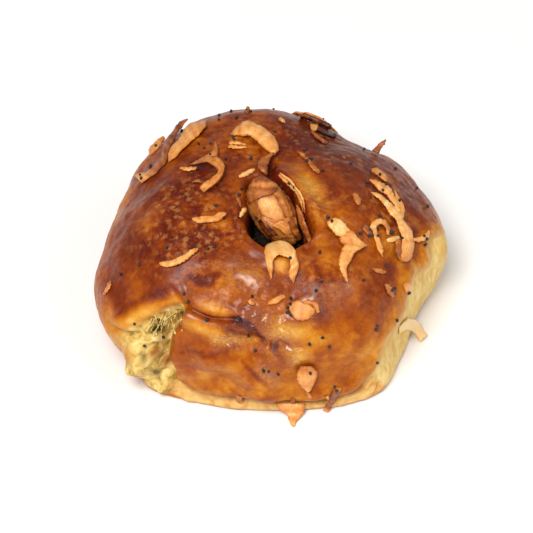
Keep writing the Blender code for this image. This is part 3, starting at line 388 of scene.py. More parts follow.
# Its skins, from the innermost out
HEART_LEAVES = (
    Leaf(((257, 193), (256, 203), (260, 214), (266, 224)), ((272, 190), (279, 199), (284, 209), (286, 220)),
         (0.1, 0.2, 0.1), 0.1, (0, 0), (0.44, 0.24, 0.34)),
    Leaf(((246.5, 189), (244.5, 200), (248, 212), (257, 227), (268, 240)),
         ((253, 190), (256.5, 200), (259, 210), (266, 221), (274, 234)),
         (0.2, 0.45, 0.3), 0.2, (0, 0.4), (0.62, 0.50, 0.62)),
    Leaf(((272, 192), (276, 199), (280, 207), (285, 217)), ((281, 189), (288, 198), (293, 208), (295, 220)),
         (0.2, 0.4, 0.2), 0.1, (0.3, 0), (0.60, 0.44, 0.56)),
    Leaf(((281, 190), (288, 199), (293, 211), (295, 226)),
         ((284, 191), (292, 202), (297.5, 215), (299, 230)),
         (0.2, 0.3, 0.2), 0.1, (0.4, 0), (0.74, 0.62, 0.72)),
    Leaf(((249, 205), (246, 193), (252, 183), (262, 177)),
         ((262, 195.5), (272, 194), (278, 186), (266, 177)),
         (0.3, 0.5, 0.2), 0.2, (0.1, 0.4), (0.66, 0.54, 0.66)),
    Leaf(((260, 228), (269, 236), (280, 239.5), (290, 238), (298, 231)),
         ((262, 214), (270, 218), (279, 220), (288, 217), (296, 217)),
         (0.3, 0.6, 0.3), 0.2, (0, 0.3), (0.54, 0.42, 0.52)),
    Leaf(((272, 226), (279, 230), (287, 236)), ((281, 220), (289, 224), (296, 232)),
         (0.8, 1.1, 0.8), 0.1, (0.1, 0.3), (0.40, 0.30, 0.46)),
    Leaf(((258, 221), (263, 230), (270, 240)), ((260.5, 219), (267, 227), (275, 238)),
         (0.5, 0.9, 0.5), 0.1, (0.1, 0.7), (0.84, 0.70, 0.80)),
    Leaf(((264, 224), (269, 231), (276, 240)), ((266.5, 223), (273, 230), (280, 238)),
         (0.5, 0.9, 0.5), 0.1, (0.1, 0.7), (0.62, 0.82, 0.86)),
    Leaf(((271, 241), (283, 245), (294, 244), (302, 238)), ((273, 236), (283, 236), (293, 234), (300, 233)),
         (0.5, 1.1, 0.8), 0.4, (0.3, 0.3), (0.50, 0.44, 0.56)),
    Leaf(((288, 222), (292, 232), (298, 241)), ((293, 219), (298, 229), (302, 239)),
         (0.3, 0.9, 0.5), 0.2, (0.3, 0.2), (0.72, 0.56, 0.70)),
)


def linear(rgb):
    """Linear colour of a screen colour given from 0 to 255."""
    return tuple(((c / 255 + 0.055) / 1.055) ** 2.4 for c in rgb)


def ring_curve(degrees, knots):
    """Closed curve of cubic pieces through (degrees, value) knots, read at any degrees."""
    angle = np.array([k[0] for k in knots], float)
    value = np.array([k[1] for k in knots], float)
    angle = np.concatenate([angle[-2:] - 360, angle, angle[:3] + 360])
    value = np.concatenate([value[-2:], value, value[:3]])
    x = np.mod(degrees, 360)
    i = np.clip(np.searchsorted(angle, x, side="right") - 1, 1, len(angle) - 3)
    span = angle[i + 1] - angle[i]
    t = (x - angle[i]) / span
    m0 = (value[i + 1] - value[i - 1]) / (angle[i + 1] - angle[i - 1]) * span
    m1 = (value[i + 2] - value[i]) / (angle[i + 2] - angle[i]) * span
    h0 = 2 * t**3 - 3 * t**2 + 1
    h1 = t**3 - 2 * t**2 + t
    h2 = t**3 - t**2
    return h0 * value[i] + h1 * m0 + (1 - h0) * value[i + 1] + h2 * m1


def unit(vectors):
    """Vectors of length 1 in the same directions."""
    return vectors / np.maximum(np.linalg.norm(vectors, axis=-1, keepdims=True), 1e-9)


def sheet_axes(side=FRONT):
    """The sheet's right, up and towards-the-eye directions, from the front or from behind."""
    turn = math.cos(side)
    right = np.array([turn, 0.0, 0.0])
    up = np.array([0.0, turn * math.sin(SHEET_TILT), math.cos(SHEET_TILT)])
    eye = np.array([0.0, -turn * math.cos(SHEET_TILT), math.sin(SHEET_TILT)])
    return right, up, eye


def sheet_dots(points, side=FRONT):
    """Where points show on the sheet, in dots across and down."""
    right, up, eye = sheet_axes(side)
    offset = points - AIM
    scale = SHEET_DISTANCE / (SHEET_DISTANCE - offset @ eye) / DOT
    return SHEET_MIDDLE + (offset @ right) * scale, SHEET_MIDDLE - (offset @ up) * scale


def sheet_rays(dots, side=FRONT):
    """The eye, and unit directions from it through an array of dots."""
    right, up, eye = sheet_axes(side)
    across, down = dots[..., :1] - SHEET_MIDDLE, dots[..., 1:] - SHEET_MIDDLE
    return AIM + eye * SHEET_DISTANCE, unit((right * across - up * down) * DOT - eye * SHEET_DISTANCE)


def near_route(px, py, route):
    """Distance in dots to a route, positive on its right as it runs, and the share of the way along it."""
    points = open_curve(route, 6 * len(route))
    length = np.linalg.norm(np.diff(points, axis=0), axis=1)
    start = np.concatenate([[0], np.cumsum(length)])
    best = np.full(px.shape, np.inf)
    signed = np.zeros(px.shape)
    share = np.zeros(px.shape)
    for (ax, ay), (bx, by), size, before in zip(points, points[1:], length, start):
        dx, dy = (bx - ax) / size, (by - ay) / size
        t = np.clip((px - ax) * dx + (py - ay) * dy, 0, size)
        ex, ey = px - ax - t * dx, py - ay - t * dy
        distance = np.hypot(ex, ey)
        closer = distance < best
        best = np.where(closer, distance, best)
        signed = np.where(closer, np.where(dx * ey - dy * ex >= 0, distance, -distance), signed)
        share = np.where(closer, (before + t) / start[-1], share)
    return signed, share


def bell(distance, width, middle=0.0):
    """Bell of height 1 about middle."""
    return np.exp(-(((distance - middle) / width) ** 2))


def ends(share, first, last):
    """1 along a route, fading to 0 over its first and last shares."""
    fade_in = smooth(share, 0, first) if first else 1.0
    return fade_in * (smooth(1 - share, 0, last) if last else 1.0)


def spot(px, py, at, radius, squash=1.0, turn=0.0):
    """Round-topped bump of height 1 that ends at a radius; squash is the share of its short side."""
    c, s = math.cos(math.radians(turn)), math.sin(math.radians(turn))
    dx, dy = px - at[0], py - at[1]
    u, v = dx * c + dy * s, (dy * c - dx * s) / squash
    return (1 - np.clip((u * u + v * v) / radius**2, 0, 1)) ** 2


def drawn_spots(px, py, spots):
    """Sum of drawn spots, each of its own amount."""
    return sum(amount * spot(px, py, *shape) for *shape, amount in spots)


def drawn_bells(px, py, routes):
    """Sum of bells drawn along routes."""
    total = 0.0
    for route, first, last, bells in routes:
        across, share = near_route(px, py, route)
        height = sum(amount * bell(across, *shape) for amount, *shape in bells)
        total = total + height * ends(share, first, last)
    return total


def ripple(points, wavelength, draw):
    """Uneven swell of height about 1: a sum of sine waves in drawn directions."""
    rng = np.random.default_rng(draw)
    way = unit(rng.normal(size=(RIPPLE_WAVES, points.shape[-1])))
    way = way * rng.uniform(0.7, 1.3, (RIPPLE_WAVES, 1)) * 2 * math.pi / wavelength
    phase = rng.uniform(0, 2 * math.pi, RIPPLE_WAVES)
    return sum(np.sin(points @ w + p) for w, p in zip(way, phase)) / math.sqrt(RIPPLE_WAVES)


def base_form(phi, s):
    """Smooth roll: a dome of superellipse profile, a wall and a flat foot. phi runs round it, and s from 0 at
    the top to 1 in the foot's middle."""
    degrees = np.degrees(phi)
    radius = ring_curve(degrees, OUTLINE)
    power = ring_curve(degrees, FULLNESS)
    tuck = ring_curve(degrees, TUCK)
    quarter = np.clip(s / WALL_START, 0, 1) * math.pi / 2
    down = np.clip((s - WALL_START) / (FOOT_START - WALL_START), 0, 1)
    inward = np.clip((1 - s) / (1 - FOOT_START), 0, 1)
    z = WALL_HEIGHT + (HEIGHT - WALL_HEIGHT) * np.abs(np.cos(quarter)) ** (2 / power)
    z = np.where(s > WALL_START, WALL_HEIGHT * (1 - down), z)
    z = np.where(s >= FOOT_START, 0.0, z)
    dome = radius * np.sin(quarter) ** (2 / power)
    wall = radius * (1 - tuck * down**2) - FOOT_ROUNDING * np.clip(1 - z / 1.5, 0, 1) ** 2
    foot = (radius * (1 - tuck) - FOOT_ROUNDING) * inward
    r = np.where(s <= WALL_START, dome, np.where(s < FOOT_START, wall, foot))
    r = r * (1 + 0.6 * (TOP_RADIUS / radius - 1) * smooth(z, 20, 46))
    lean = TOP_LEAN * (z / HEIGHT) ** 1.5
    return np.stack([r * np.cos(phi) + lean, r * np.sin(phi), z], -1)


def form_normals(phi, s):
    """Outward unit normals of the smooth roll, from small steps along both parameters."""
    step = 1e-3
    around = base_form(phi + step, s) - base_form(phi - step, s)
    along = base_form(phi, np.clip(s + step, 0, 1)) - base_form(phi, np.clip(s - step, 0, 1))
    return unit(np.cross(along, around))


# The hollow: its middle, its turn in degrees and half its length and width on the sheet, and its depth
HOLLOW_AT, HOLLOW_TURN, HOLLOW_LONG, HOLLOW_SHORT = (277, 213), 56.0, 40.0, 29.5
HOLLOW_DEPTH = 11.0


def hollow_reach(px, py):
    """How far out of the hollow's middle a dot lies: 1 on its uneven oval edge."""
    c, s = math.cos(math.radians(HOLLOW_TURN)), math.sin(math.radians(HOLLOW_TURN))
    dx, dy = px - HOLLOW_AT[0], py - HOLLOW_AT[1]
    u, v = (dx * c + dy * s) / HOLLOW_LONG, (dy * c - dx * s) / HOLLOW_SHORT
    angle = np.arctan2(v, u)
    return np.hypot(u, v) * (1 + 0.07 * np.sin(3 * angle + 1.0) + 0.05 * np.sin(5 * angle + 2.2))


# Routes on the sheet, from the hollow to the foot
CLEFT = ((272, 150), (271, 162), (270, 176), (272, 190))
RIGHT_GAP = ((279, 181), (287, 190), (294, 203), (299, 220))
HOLLOW_CREASE = ((308, 246), (322, 242), (338, 243), (354, 247))
FOLD_TOP = ((180, 301), (192, 310), (211, 318), (228, 319), (243, 321), (256, 328), (267, 342))
FOLD_VALLEY = ((214, 334), (240, 338), (268, 348), (300, 350))
FOLD_CREST = ((186, 352), (205, 349), (226, 351), (246, 361), (268, 378), (292, 389))
FOLD_RIDGE = ((203, 347), (212, 341), (224, 336), (238, 334))
SMALL_CREASE = ((280, 347), (294, 351), (308, 347))
FOLD_END = ((196, 308), (186, 312), (177, 326), (170, 345), (168, 362), (175, 379), (190, 391))
TORN_EDGE = ((118, 331), (131, 326), (148, 316), (164, 308), (182, 302))
LOBE_CREASE = ((108, 322), (118, 329), (132, 337))
FOLD_FOOT = ((178, 384), (193, 393), (215, 397), (250, 400), (300, 402), (340, 397), (362, 386), (374, 372))
CRUST_EDGE = ((449, 230), (430, 240), (427, 262), (410, 281), (403, 312), (391, 338), (376, 368), (362, 384))

POCKET_DEPTH = 7.0
# Pits and lumps of the torn crumb: place, radius in dots, share of the short side, turn and height
TORN_LUMPS = (
    ((153, 325), 9, 0.7, 30, -4.6), ((176, 324), 11, 0.5, 100, -5.4), ((168, 350), 16, 0.5, 100, -2.4),
    ((171, 371), 11, 0.45, 70, -4.8), ((142, 364), 20, 0.95, 30, 4.0), ((133, 350), 11, 0.9, 0, 2.2),
    ((151, 345), 11, 0.7, 40, 1.6), ((164, 388), 13, 0.6, 24, 5.0), ((160, 376), 6, 0.5, -60, 1.2),
    ((146, 332), 9, 0.8, 0, 1.4), ((162, 337), 6, 0.6, 90, 1.8), ((131, 340), 7, 0.8, 30, 1.2),
    ((152, 379), 8, 0.8, 0, 1.2), ((176, 392), 7, 0.7, 0, 1.4),
)
# Browned tops among the crumb: place, radius in dots, share of the short side and turn
TORN_TOPS = (
    ((132, 351), 12, 0.7, 60), ((140, 372), 9, 0.5, 20), ((163, 374), 10, 0.7, 20),
    ((151, 357), 8, 0.4, 50), ((121, 345), 10, 0.6, 80), ((176, 388), 6, 0.5, 0),
)
# Grooves and ridges: the route, the shares of it over which they rise and fade, and for each bell across
# it its height in millimetres, and its width and place in dots, on the route's right where positive
GROOVES = (
    (CLEFT, 0.4, 0, ((-3.0, 4.5),)),
    (RIGHT_GAP, 0.3, 0.2, ((-2.6, 5),)),
    (HOLLOW_CREASE, 0, 0.7, ((-1.8, 5),)),
    (FOLD_TOP, 0.06, 0.65, ((-1.5, 2.2),)),
    (FOLD_TOP, 0.15, 0.5, ((0.8, 7, 10), (0.3, 7, -8))),
    (FOLD_VALLEY, 0.3, 0.3, ((-2.2, 9),)),
    (FOLD_CREST, 0.2, 0.25, ((2.8, 13, 8),)),
    (FOLD_RIDGE, 0.35, 0.35, ((0.6, 3.6),)),
    (SMALL_CREASE, 0.2, 0.2, ((-0.9, 2.4),)),
    (TORN_EDGE, 0.15, 0.15, ((0.5, 6, -7),)),
    (LOBE_CREASE, 0.2, 0, ((-1.8, 3.0),)),
    (LOBE_CREASE, 0.15, 0.15, ((1.5, 7, -9),)),
    (FOLD_FOOT, 0.1, 0.1, ((-3.0, 2.6),)),
    (FOLD_FOOT, 0.12, 0.12, ((1.6, 7, -8),)),
    (CRUST_EDGE, 0.1, 0.1, ((1.0, 6, 5), (-1.0, 6, -5))),
)
# Broad swells and small bumps of the crust: place, radius in dots, share of the short side, turn and height
BUMPS = (
    ((345, 205), 62, 0.8, 40, 1.2), ((185, 225), 70, 0.7, -60, 1.2), ((352.5, 216.8), 6, 1.0, 0, 0.35),
    ((336, 197), 3.5, 1.0, 0, -0.3), ((342, 196), 3, 1.0, 0, -0.3), ((274.5, 349), 10, 0.6, 85, 2.2),
    ((317, 310), 7, 0.8, 20, 0.6), ((357, 199), 7, 0.7, 60, 0.35), ((243, 320), 8, 0.5, 25, 0.7),
    ((232, 327), 7, 0.6, 10, 0.5), ((252, 331), 8, 0.5, 30, 0.6), ((204, 166), 5, 0.6, 0, -0.3),
    ((226, 323), 7, 0.6, 20, 0.7), ((238, 330), 6, 0.7, 60, 0.6), ((246, 325), 6, 0.6, 30, 0.6),
    ((262, 338), 7, 0.5, 50, 0.7), ((254, 343), 6, 0.6, 0, -0.4), ((220, 334), 9, 0.5, 10, 0.4),
    ((238, 221), 9, 0.7, 60, 0.5), ((319, 186), 10, 0.6, 40, 0.5), ((262, 362), 7, 0.6, 40, 0.8),
    ((272, 370), 6, 0.7, 20, 0.7), ((283, 366), 5, 0.8, 0, 0.6), ((254, 353), 6, 0.6, 60, 0.6),
    ((288, 375), 6, 0.7, 10, 0.6), ((266, 377), 4, 0.8, 0, -0.5), ((284, 333), 9, 0.6, 0, 0.9),
    ((296, 336), 7, 0.6, 20, 0.6), ((302, 358), 9, 0.5, 0, 0.7), ((231, 346), 6, 0.5, 30, 0.7),
    ((240, 350), 6, 0.5, 10, 0.6), ((292, 321), 10, 0.5, -10, 0.5),
)
# Where the crust is wrinkled and where it is blistered: place, radius in dots, share of the short side,
# turn and strength
WRINKLED = (((268, 318), 85, 0.6, 12, 1.0),)
BLISTERED = (((272, 352), 38, 0.55, 35, 1.0), ((222, 332), 22, 0.5, -20, 1.0))


def hollow_relief(px, py):
    """The hollow at the top, with a raised rim and a shallow dish round it."""
    q = hollow_reach(px, py)
    return 1.3 * bell(q, 0.22, 1.25) - 2.2 * bell(q, 2.2) - HOLLOW_DEPTH * smooth(1.10 - q, 0.0, 0.34)


def torn_relief(px, py):
    """The torn corner: a pocket beside the fold's end, and the ground that falls away below the lip."""
    across, share = near_route(px, py, FOLD_END)
    pocket = smooth(across, -1.5, 5.0) * np.exp(-((np.clip(across - 4, 0, None) / 15) ** 1.6))
    height = -POCKET_DEPTH * pocket * ends(share, 0.25, 0.12)
    across, share = near_route(px, py, TORN_EDGE)
    return height - 0.8 * smooth(across, -2, 6) * bell(np.clip(across, 0, None), 30) * ends(share, 0.2, 0.2)


def skin_relief(px, py, points):
    """The crust's wrinkles and blisters, and the roughness of the torn crumb and the bottom layer."""
    height = drawn_spots(px, py, WRINKLED) * (0.20 * ripple(points, 3.0, 21) + 0.12 * ripple(points, 1.7, 22))
    height += 0.32 * drawn_spots(px, py, BLISTERED) * ripple(points, 2.3, 27)
    height += crumb_share(px, py) * (0.60 * ripple(points, 4.2, 23) + 0.36 * ripple(points, 2.0, 24))
    return height + foot_share(px, py) * (0.45 * ripple(points, 9, 25) + 0.35 * ripple(points, 3.5, 26))


def crumb_share(px, py):
    """1 where the torn corner shows crumb, 0 on the crust."""
    torn, _ = near_route(px, py, TORN_EDGE)
    fold, _ = near_route(px, py, FOLD_END)
    inside = smooth(torn, -1, 4) * smooth(fold, -0.5, 3.0) * smooth(px, 112, 128) * (1 - smooth(px, 180, 184))
    tops = sum(spot(px, py, *top) for top in TORN_TOPS)
    return inside * (1 - smooth(py, 392, 400)) * (1 - 0.9 * np.clip(tops, 0, 1))


def foot_share(px, py):
    """1 on the pale bottom layer under the front fold, 0 above it."""
    across, share = near_route(px, py, FOLD_FOOT)
    return smooth(across, -1.5, 2.0) * ends(share, 0.04, 0.04)


def touched_share(px, py, normal, z, seen):
    """1 on the pale side that a neighbour touched: right of the crust's edge, and on round the back."""
    across, _ = near_route(px, py, CRUST_EDGE)
    front = smooth(-across, -2.5, 5.0) * smooth(px, 340, 368)
    hidden = smooth(normal[..., 0], 0.55, 0.85) * (1 - smooth(z, 20, 29))
    return front * seen + hidden * (1 - seen)


def dough_surface(phi, s):
    """Points of the dough: the smooth roll moved along its normals by the relief drawn on the sheet."""
    form = base_form(phi, s)
    normal = form_normals(phi, s)
    px, py = sheet_dots(form)
    drawn = hollow_relief(px, py) + torn_relief(px, py) + skin_relief(px, py, form)
    drawn += drawn_bells(px, py, GROOVES) + drawn_spots(px, py, TORN_LUMPS + BUMPS)
    height = drawn * smooth(normal @ sheet_axes()[2], 0.0, 0.3)
    height += 0.55 * ripple(form, 26, 4) + 0.22 * ripple(form, 10, 7) + 0.07 * ripple(form, 4, 9)
    points = form + normal * (height * smooth(form[..., 2], 0.0, 3.0))[..., None]
    points[..., 2] = np.maximum(points[..., 2], 0.0)
    return points


# Darker and lighter places of the crust, partly its own baking and partly painted shade in the cleft, gaps
# and
# # creases by the hollow and the fold and on the left side: place, radius in dots, share of the short side,
# turn
# # and amount
BAKE_AND_SHADE_SPOTS = (
    ((204, 281), 15, 0.6, 8, 0.6), ((213, 276), 12, 0.5, -30, 0.35), ((193, 277), 11, 0.6, 20, 0.3),
    ((160, 296), 34, 0.3, -24, 0.16), ((190, 252), 70, 0.5, -30, 0.14), ((165, 215), 62, 0.7, -60, 0.16),
    ((215, 175), 55, 0.7, 0, 0.1), ((330, 150), 70, 0.5, 30, 0.2), ((390, 180), 60, 0.5, 50, 0.1),
    # The first spot here is painted shade in the dark cleft above the hollow
    ((271, 167), 15, 0.5, 90, 0.6), ((205, 351), 30, 0.14, -3, 0.16), ((256, 371), 30, 0.1, 42, 0.18),
    # Among these, the fold's crease is caramel brown darkened further by painted shade
    ((214, 332), 28, 0.5, 18, -0.34), ((194, 324), 20, 0.6, 20, -0.26), ((240, 321), 15, 0.5, 25, 0.44),
    ((252, 331), 18, 0.35, 45, 0.42), ((262, 342), 14, 0.35, 60, 0.3), ((274.5, 349), 10, 0.6, 85, 0.44),
    ((290, 332), 26, 0.5, 0, -0.32), ((298, 356), 20, 0.6, 0, -0.32), ((230, 330), 10, 0.5, 0, 0.2),
    ((236, 321), 6, 0.7, 20, 0.3), ((265, 362), 14, 0.6, 40, 0.1), ((300, 135), 46, 0.6, 0, 0.1),
    ((222, 160), 30, 0.5, -30, 0.1), ((345, 232), 40, 0.3, 20, 0.12), ((233, 242), 36, 0.6, -20, -0.12),
    ((352, 292), 34, 0.5, -60, -0.1), ((311, 186), 34, 0.5, 50, -0.46), ((216, 309), 34, 0.3, 18, -0.26),
    # The darker spots on the left side, here and two rows down, are painted shade
    ((330, 215), 34, 0.6, 40, -0.14), ((118, 300), 44, 0.5, 80, 0.14), ((112, 318), 30, 0.5, 70, -0.12),
    ((250, 208), 26, 0.5, 80, 0.1), ((236, 342), 32, 0.22, 6, -0.26), ((120, 334), 30, 0.8, 60, -0.1),
    ((125, 225), 60, 0.35, -62, 0.12), ((318, 336), 40, 0.5, 0, -0.14), ((245, 380), 90, 0.14, 5, -0.06),
    ((282, 264), 13, 1.0, 0, -0.3), ((226, 222), 26, 0.5, 0, -0.1), ((382, 240), 30, 0.5, 20, -0.1),
    ((340, 262), 40, 0.5, 0, -0.06), ((402, 262), 30, 0.3, 100, -0.1), ((270, 300), 26, 0.6, 0, -0.06),
    # The strong spot by the heart is a painted shadow in the gap between the heart and the rim strips
    ((246, 135), 40, 0.5, 0, -0.06), ((285, 183), 20, 0.42, 56, 1.3), ((246, 270), 34, 0.6, 20, -0.16),
    # The last spot is painted shade at the hollow's left edge
    ((320, 300), 34, 0.5, -30, -0.12), ((240, 212), 9, 0.5, 80, 0.5),
)
# Where the crust is flecked with light blisters, where a purple-brown sheen is painted on it, and where it is
# wet
FLECKED = (
    ((185, 222), 80, 0.8, -50, 1.0), ((250, 140), 70, 0.5, 0, 0.7), ((395, 205), 80, 0.6, 50, 0.9),
    ((330, 145), 60, 0.5, 30, 0.8), ((330, 275), 60, 0.5, 0, 0.8), ((225, 275), 50, 0.5, 0, 0.5),
    ((330, 215), 60, 0.5, 40, 0.6), ((225, 225), 45, 0.7, 0, 0.7),
)
PAINTED_SHEEN = (((355, 165), 85, 0.5, 40, 1.0), ((415, 215), 55, 0.5, 70, 0.9), ((140, 240), 55, 0.4, -60, 0.5))
WET = (
    ((246, 270), 38, 0.7, 20, 1.0), ((316, 304), 46, 0.6, -30, 1.0), ((262, 322), 50, 0.5, 15, 0.8),
    ((230, 340), 34, 0.4, 0, 1.0), ((180, 318), 36, 0.3, -20, 0.6), ((284, 352), 36, 0.6, 20, 1.0),
    ((310, 190), 40, 0.5, 50, 0.6), ((203, 280), 22, 0.7, 8, -1.8), ((348, 286), 16, 0.6, 60, 0.7),
    ((186, 292), 12, 0.6, 40, 1.2), ((268, 372), 22, 0.5, 40, 0.9),
)
# Paler and darker bands along the crust's edges, drawn like the grooves
BAKED_BELLS = (
    (CRUST_EDGE, 0.05, 0.35, ((-0.26, 9, 3),)),
    (TORN_EDGE, 0.2, 0.1, ((0.10, 5, -18), (-0.24, 7, -5))),
)
# Painted shade in the pits and gaps of the torn crumb
TORN_PAINTED_SHADE = (
    ((154, 333), 12, 0.7, 30, 1.2), ((179, 331), 16, 0.4, 110, 1.4), ((170, 347), 15, 0.4, 100, 0.9),
    ((171, 373), 13, 0.5, 50, 2.2), ((183, 388), 8, 0.4, 40, 0.9), ((145, 356), 9, 0.35, 60, 0.6),
    ((153, 376), 13, 0.25, 70, 0.9),
)
# How baked the walls are and how much more the top is, and how much painted shade darkens the hollow
BAKED_WALL, BAKED_TOP, HOLLOW_PAINTED_SHADE = 0.53, 0.16, 0.62
BAKED_LEAST, BAKED_MOST = 0.06, 0.96
TONES = ("baked", "touched", "crumb", "foot", "flecked", "dusky", "wet", "deep")


def crust_tones(points, normal, px, py, seen):
    """How each point of the crust is baked, with painted shade in the hollow and its creases, the shares of
    touched side, crumb and bottom layer, how flecked and wet the crust is, where a purple-brown sheen is
    painted, and the painted shade deep in the torn crumb, in the order of TONES."""
    baked = BAKED_WALL + BAKED_TOP * smooth(normal[..., 2], 0.1, 0.8)
    baked = baked + 0.06 * ripple(points, 22, 31) + 0.05 * ripple(points, 8, 32)
    baked = baked + drawn_spots(px, py, BAKE_AND_SHADE_SPOTS) * seen
    baked = np.clip(baked, BAKED_LEAST, BAKED_MOST) + drawn_bells(px, py, BAKED_BELLS) * seen
    # Painted shade: the hollow darkened towards black
    baked = baked + HOLLOW_PAINTED_SHADE * smooth(1.0 - hollow_reach(px, py), -0.06, 0.2) * seen
    touched = touched_share(px, py, normal, points[..., 2], seen)
    flecked = np.clip(0.15 + drawn_spots(px, py, FLECKED), 0, 1) * seen + 0.5 * (1 - seen)
    dusky = np.clip(drawn_spots(px, py, PAINTED_SHEEN), 0, 1) * seen
    wet = np.clip(0.1 + drawn_spots(px, py, WET), 0, 1) * seen
    deep = np.clip(drawn_spots(px, py, TORN_PAINTED_SHADE), 0, 1) * seen
    return baked, touched, crumb_share(px, py) * seen, foot_share(px, py) * seen, flecked, dusky, wet, deep


def grid_faces(rings, sides):
    """Corner numbers of the quads between closed rings, and of the fans that close both ends at two poles.
    Like every body's faces they are a list of whole arrays."""
    corner = np.arange(rings * sides).reshape(rings, sides)
    beside = np.roll(corner, -1, axis=1)
    quads = np.stack([corner[:-1], corner[1:], beside[1:], beside[:-1]], -1).reshape(-1, 4)
    first, last = rings * sides, rings * sides + 1
    near = np.stack([np.full(sides, first), corner[0], beside[0]], -1)
    far = np.stack([np.full(sides, last), beside[-1], corner[-1]], -1)
    return [quads, near, far]


def closed_tube(rings):
    """Points and faces of a closed body from rings of points, with a pole in the middle of each end."""
    count, sides = rings.shape[:2]
    points = np.vstack([rings.reshape(-1, 3), rings[0].mean(0), rings[-1].mean(0)])
    return points, grid_faces(count, sides)


def with_poles(values):
    """Values of a body's rings, followed by those of its two poles."""
    return np.concatenate([values.reshape(-1), [values[0].mean(), values[-1].mean()]])


def leaf_solid(middle, thickness):
    """Points and faces of a thin closed leaf: a grid of points moved half the thickness to either side
    along the grid's own normals, with its border closed by one row of quads."""
    rows, columns = middle.shape[:2]
    normal = unit(np.cross(np.gradient(middle, axis=0), np.gradient(middle, axis=1)))
    half = normal * np.asarray(thickness)[..., None] / 2
    points = np.vstack([(middle + half).reshape(-1, 3), (middle - half).reshape(-1, 3)])
    top = np.arange(rows * columns).reshape(rows, columns)
    faces = np.stack([top[:-1, :-1], top[1:, :-1], top[1:, 1:], top[:-1, 1:]], -1).reshape(-1, 4)
    border = np.concatenate([top[:-1, 0], top[-1, :-1], top[:0:-1, -1], top[0, :0:-1]])
    after = np.roll(border, -1)
    low = rows * columns
    rim = np.stack([border, border + low, after + low, after], -1)
    return points, [faces, faces[:, ::-1] + low, rim]


def joined(bodies):
    """Points and faces of several bodies together, each body's corner numbers moved past those before it."""
    starts = np.cumsum([0] + [len(points) for points, _ in bodies])
    blocks = [block + first for first, (_, faces) in zip(starts, bodies) for block in faces]
    return np.vstack([points for points, _ in bodies]), [face for block in blocks for face in block.tolist()]


def put_in_scene(name, data):
    """A new object of the scene."""
    thing = bpy.data.objects.new(name, data)
    bpy.context.scene.collection.objects.link(thing)
    return thing


def build_piece(name, bodies, material, values=None):
    """One object from closed bodies of points and faces in millimetres, with named values at its points."""
    points, faces = joined(bodies)
    mesh = bpy.data.meshes.new(name)
    mesh.from_pydata((points * MM).tolist(), [], faces)
    for key, array in (values or {}).items():
        array = np.asarray(array, np.float32)
        kind, field = ("FLOAT", "value") if array.ndim == 1 else ("FLOAT_VECTOR", "vector")
        mesh.attributes.new(key, kind, "POINT").data.foreach_set(field, array.ravel())
    mesh.materials.append(material)
    mesh.shade_smooth()
    mesh.update()
    return put_in_scene(name, mesh)


def stand_for(piece, node):
    """The piece rides on the roll and is shown instead of the frame's node."""
    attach(piece, "root")
    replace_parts(piece, node)


class Finish:
    """A node material: each method adds one step and gives back the socket that carries its result."""

    def __init__(self, name, roughness, subsurface=0.0, scatter=(1.0, 0.45, 0.2), reach=1.5):
        self.material = bpy.data.materials.new(name)
        self.material.use_nodes = True
        self.tree = self.material.node_tree
        self.shader = self.tree.nodes["Principled BSDF"]
        self.shader.inputs["Roughness"].default_value = roughness
        for key, value in (("Weight", subsurface), ("Radius", scatter), ("Scale", reach * MM)):
            self.shader.inputs["Subsurface " + key].default_value = value
        self.object = self.tree.nodes.new("ShaderNodeTexCoord").outputs["Object"]

    def put(self, socket, value):
        """A link for a socket, a plain value for anything else."""
        if isinstance(value, bpy.types.NodeSocket):
            self.tree.links.new(value, socket)
        else:
            socket.default_value = value

    def add(self, kind, inputs, **settings):
        """A node of a kind, with its settings, and with a link or a plain value in each named input."""
        node = self.tree.nodes.new("ShaderNode" + kind)
        for key, value in settings.items():
            setattr(node, key, value)
        for key, value in inputs.items():
            self.put(node.inputs[key], value)
        return node

    def attribute(self, name, output="Fac"):
        return self.add("Attribute", {}, attribute_name=name).outputs[output]

    def mapped(self, vector, scale):
        return self.add("Mapping", {"Vector": vector, "Scale": scale}).outputs["Vector"]

    def noise(self, vector, scale, detail=3.0, distortion=0.0):
        inputs = {"Vector": vector, "Scale": scale, "Detail": detail, "Distortion": distortion}
        return self.add("TexNoise", inputs).outputs["Fac"]

    def cells(self, vector, scale):
        return self.add("TexVoronoi", {"Vector": vector, "Scale": scale}).outputs["Distance"]

    def math(self, operation, *values):
        return self.add("Math", dict(enumerate(values)), operation=operation).outputs["Value"]

    def swayed(self, value, noise, amount):
        """The value moved up and down by a noise, whose middle is 0.5."""
        return self.math("MULTIPLY_ADD", self.math("SUBTRACT", noise, 0.5), amount, value)

    def spread(self, value, low, high, to_low=0.0, to_high=1.0):
        inputs = {"Value": value, "From Min": low, "From Max": high, "To Min": to_low, "To Max": to_high}
        return self.add("MapRange", inputs, interpolation_type="SMOOTHSTEP").outputs["Result"]

    def ramp(self, value, stops):
        node = self.add("ValToRGB", {"Fac": value})
        line = node.color_ramp
        line.elements[0].position, line.elements[1].position = stops[0][0], stops[-1][0]
        for place, _ in stops[1:-1]:
            line.elements.new(place)
        for element, (_, colour) in zip(line.elements, stops):
            element.color = rgba(colour)
        return node.outputs["Color"]

    def mix(self, share, a, b):
        return self.add("Mix", {"Factor": share, 6: a, 7: b}, data_type="RGBA").outputs[2]

    def bump(self, height, strength, distance, below=None):
        inputs = {"Height": height, "Strength": strength, "Distance": distance * MM}
        if below is not None:
            inputs["Normal"] = below
        return self.add("Bump", inputs).outputs["Normal"]

    def done(self, colour, roughness=None, normal=None):
        for key, value in (("Base Color", colour), ("Roughness", roughness), ("Normal", normal)):
            if value is not None:
                self.put(self.shader.inputs[key], value)
        return self.material


def rgba(colour):
    """A colour property as the four numbers that a socket takes."""
    return (*colour[:3], 1.0)


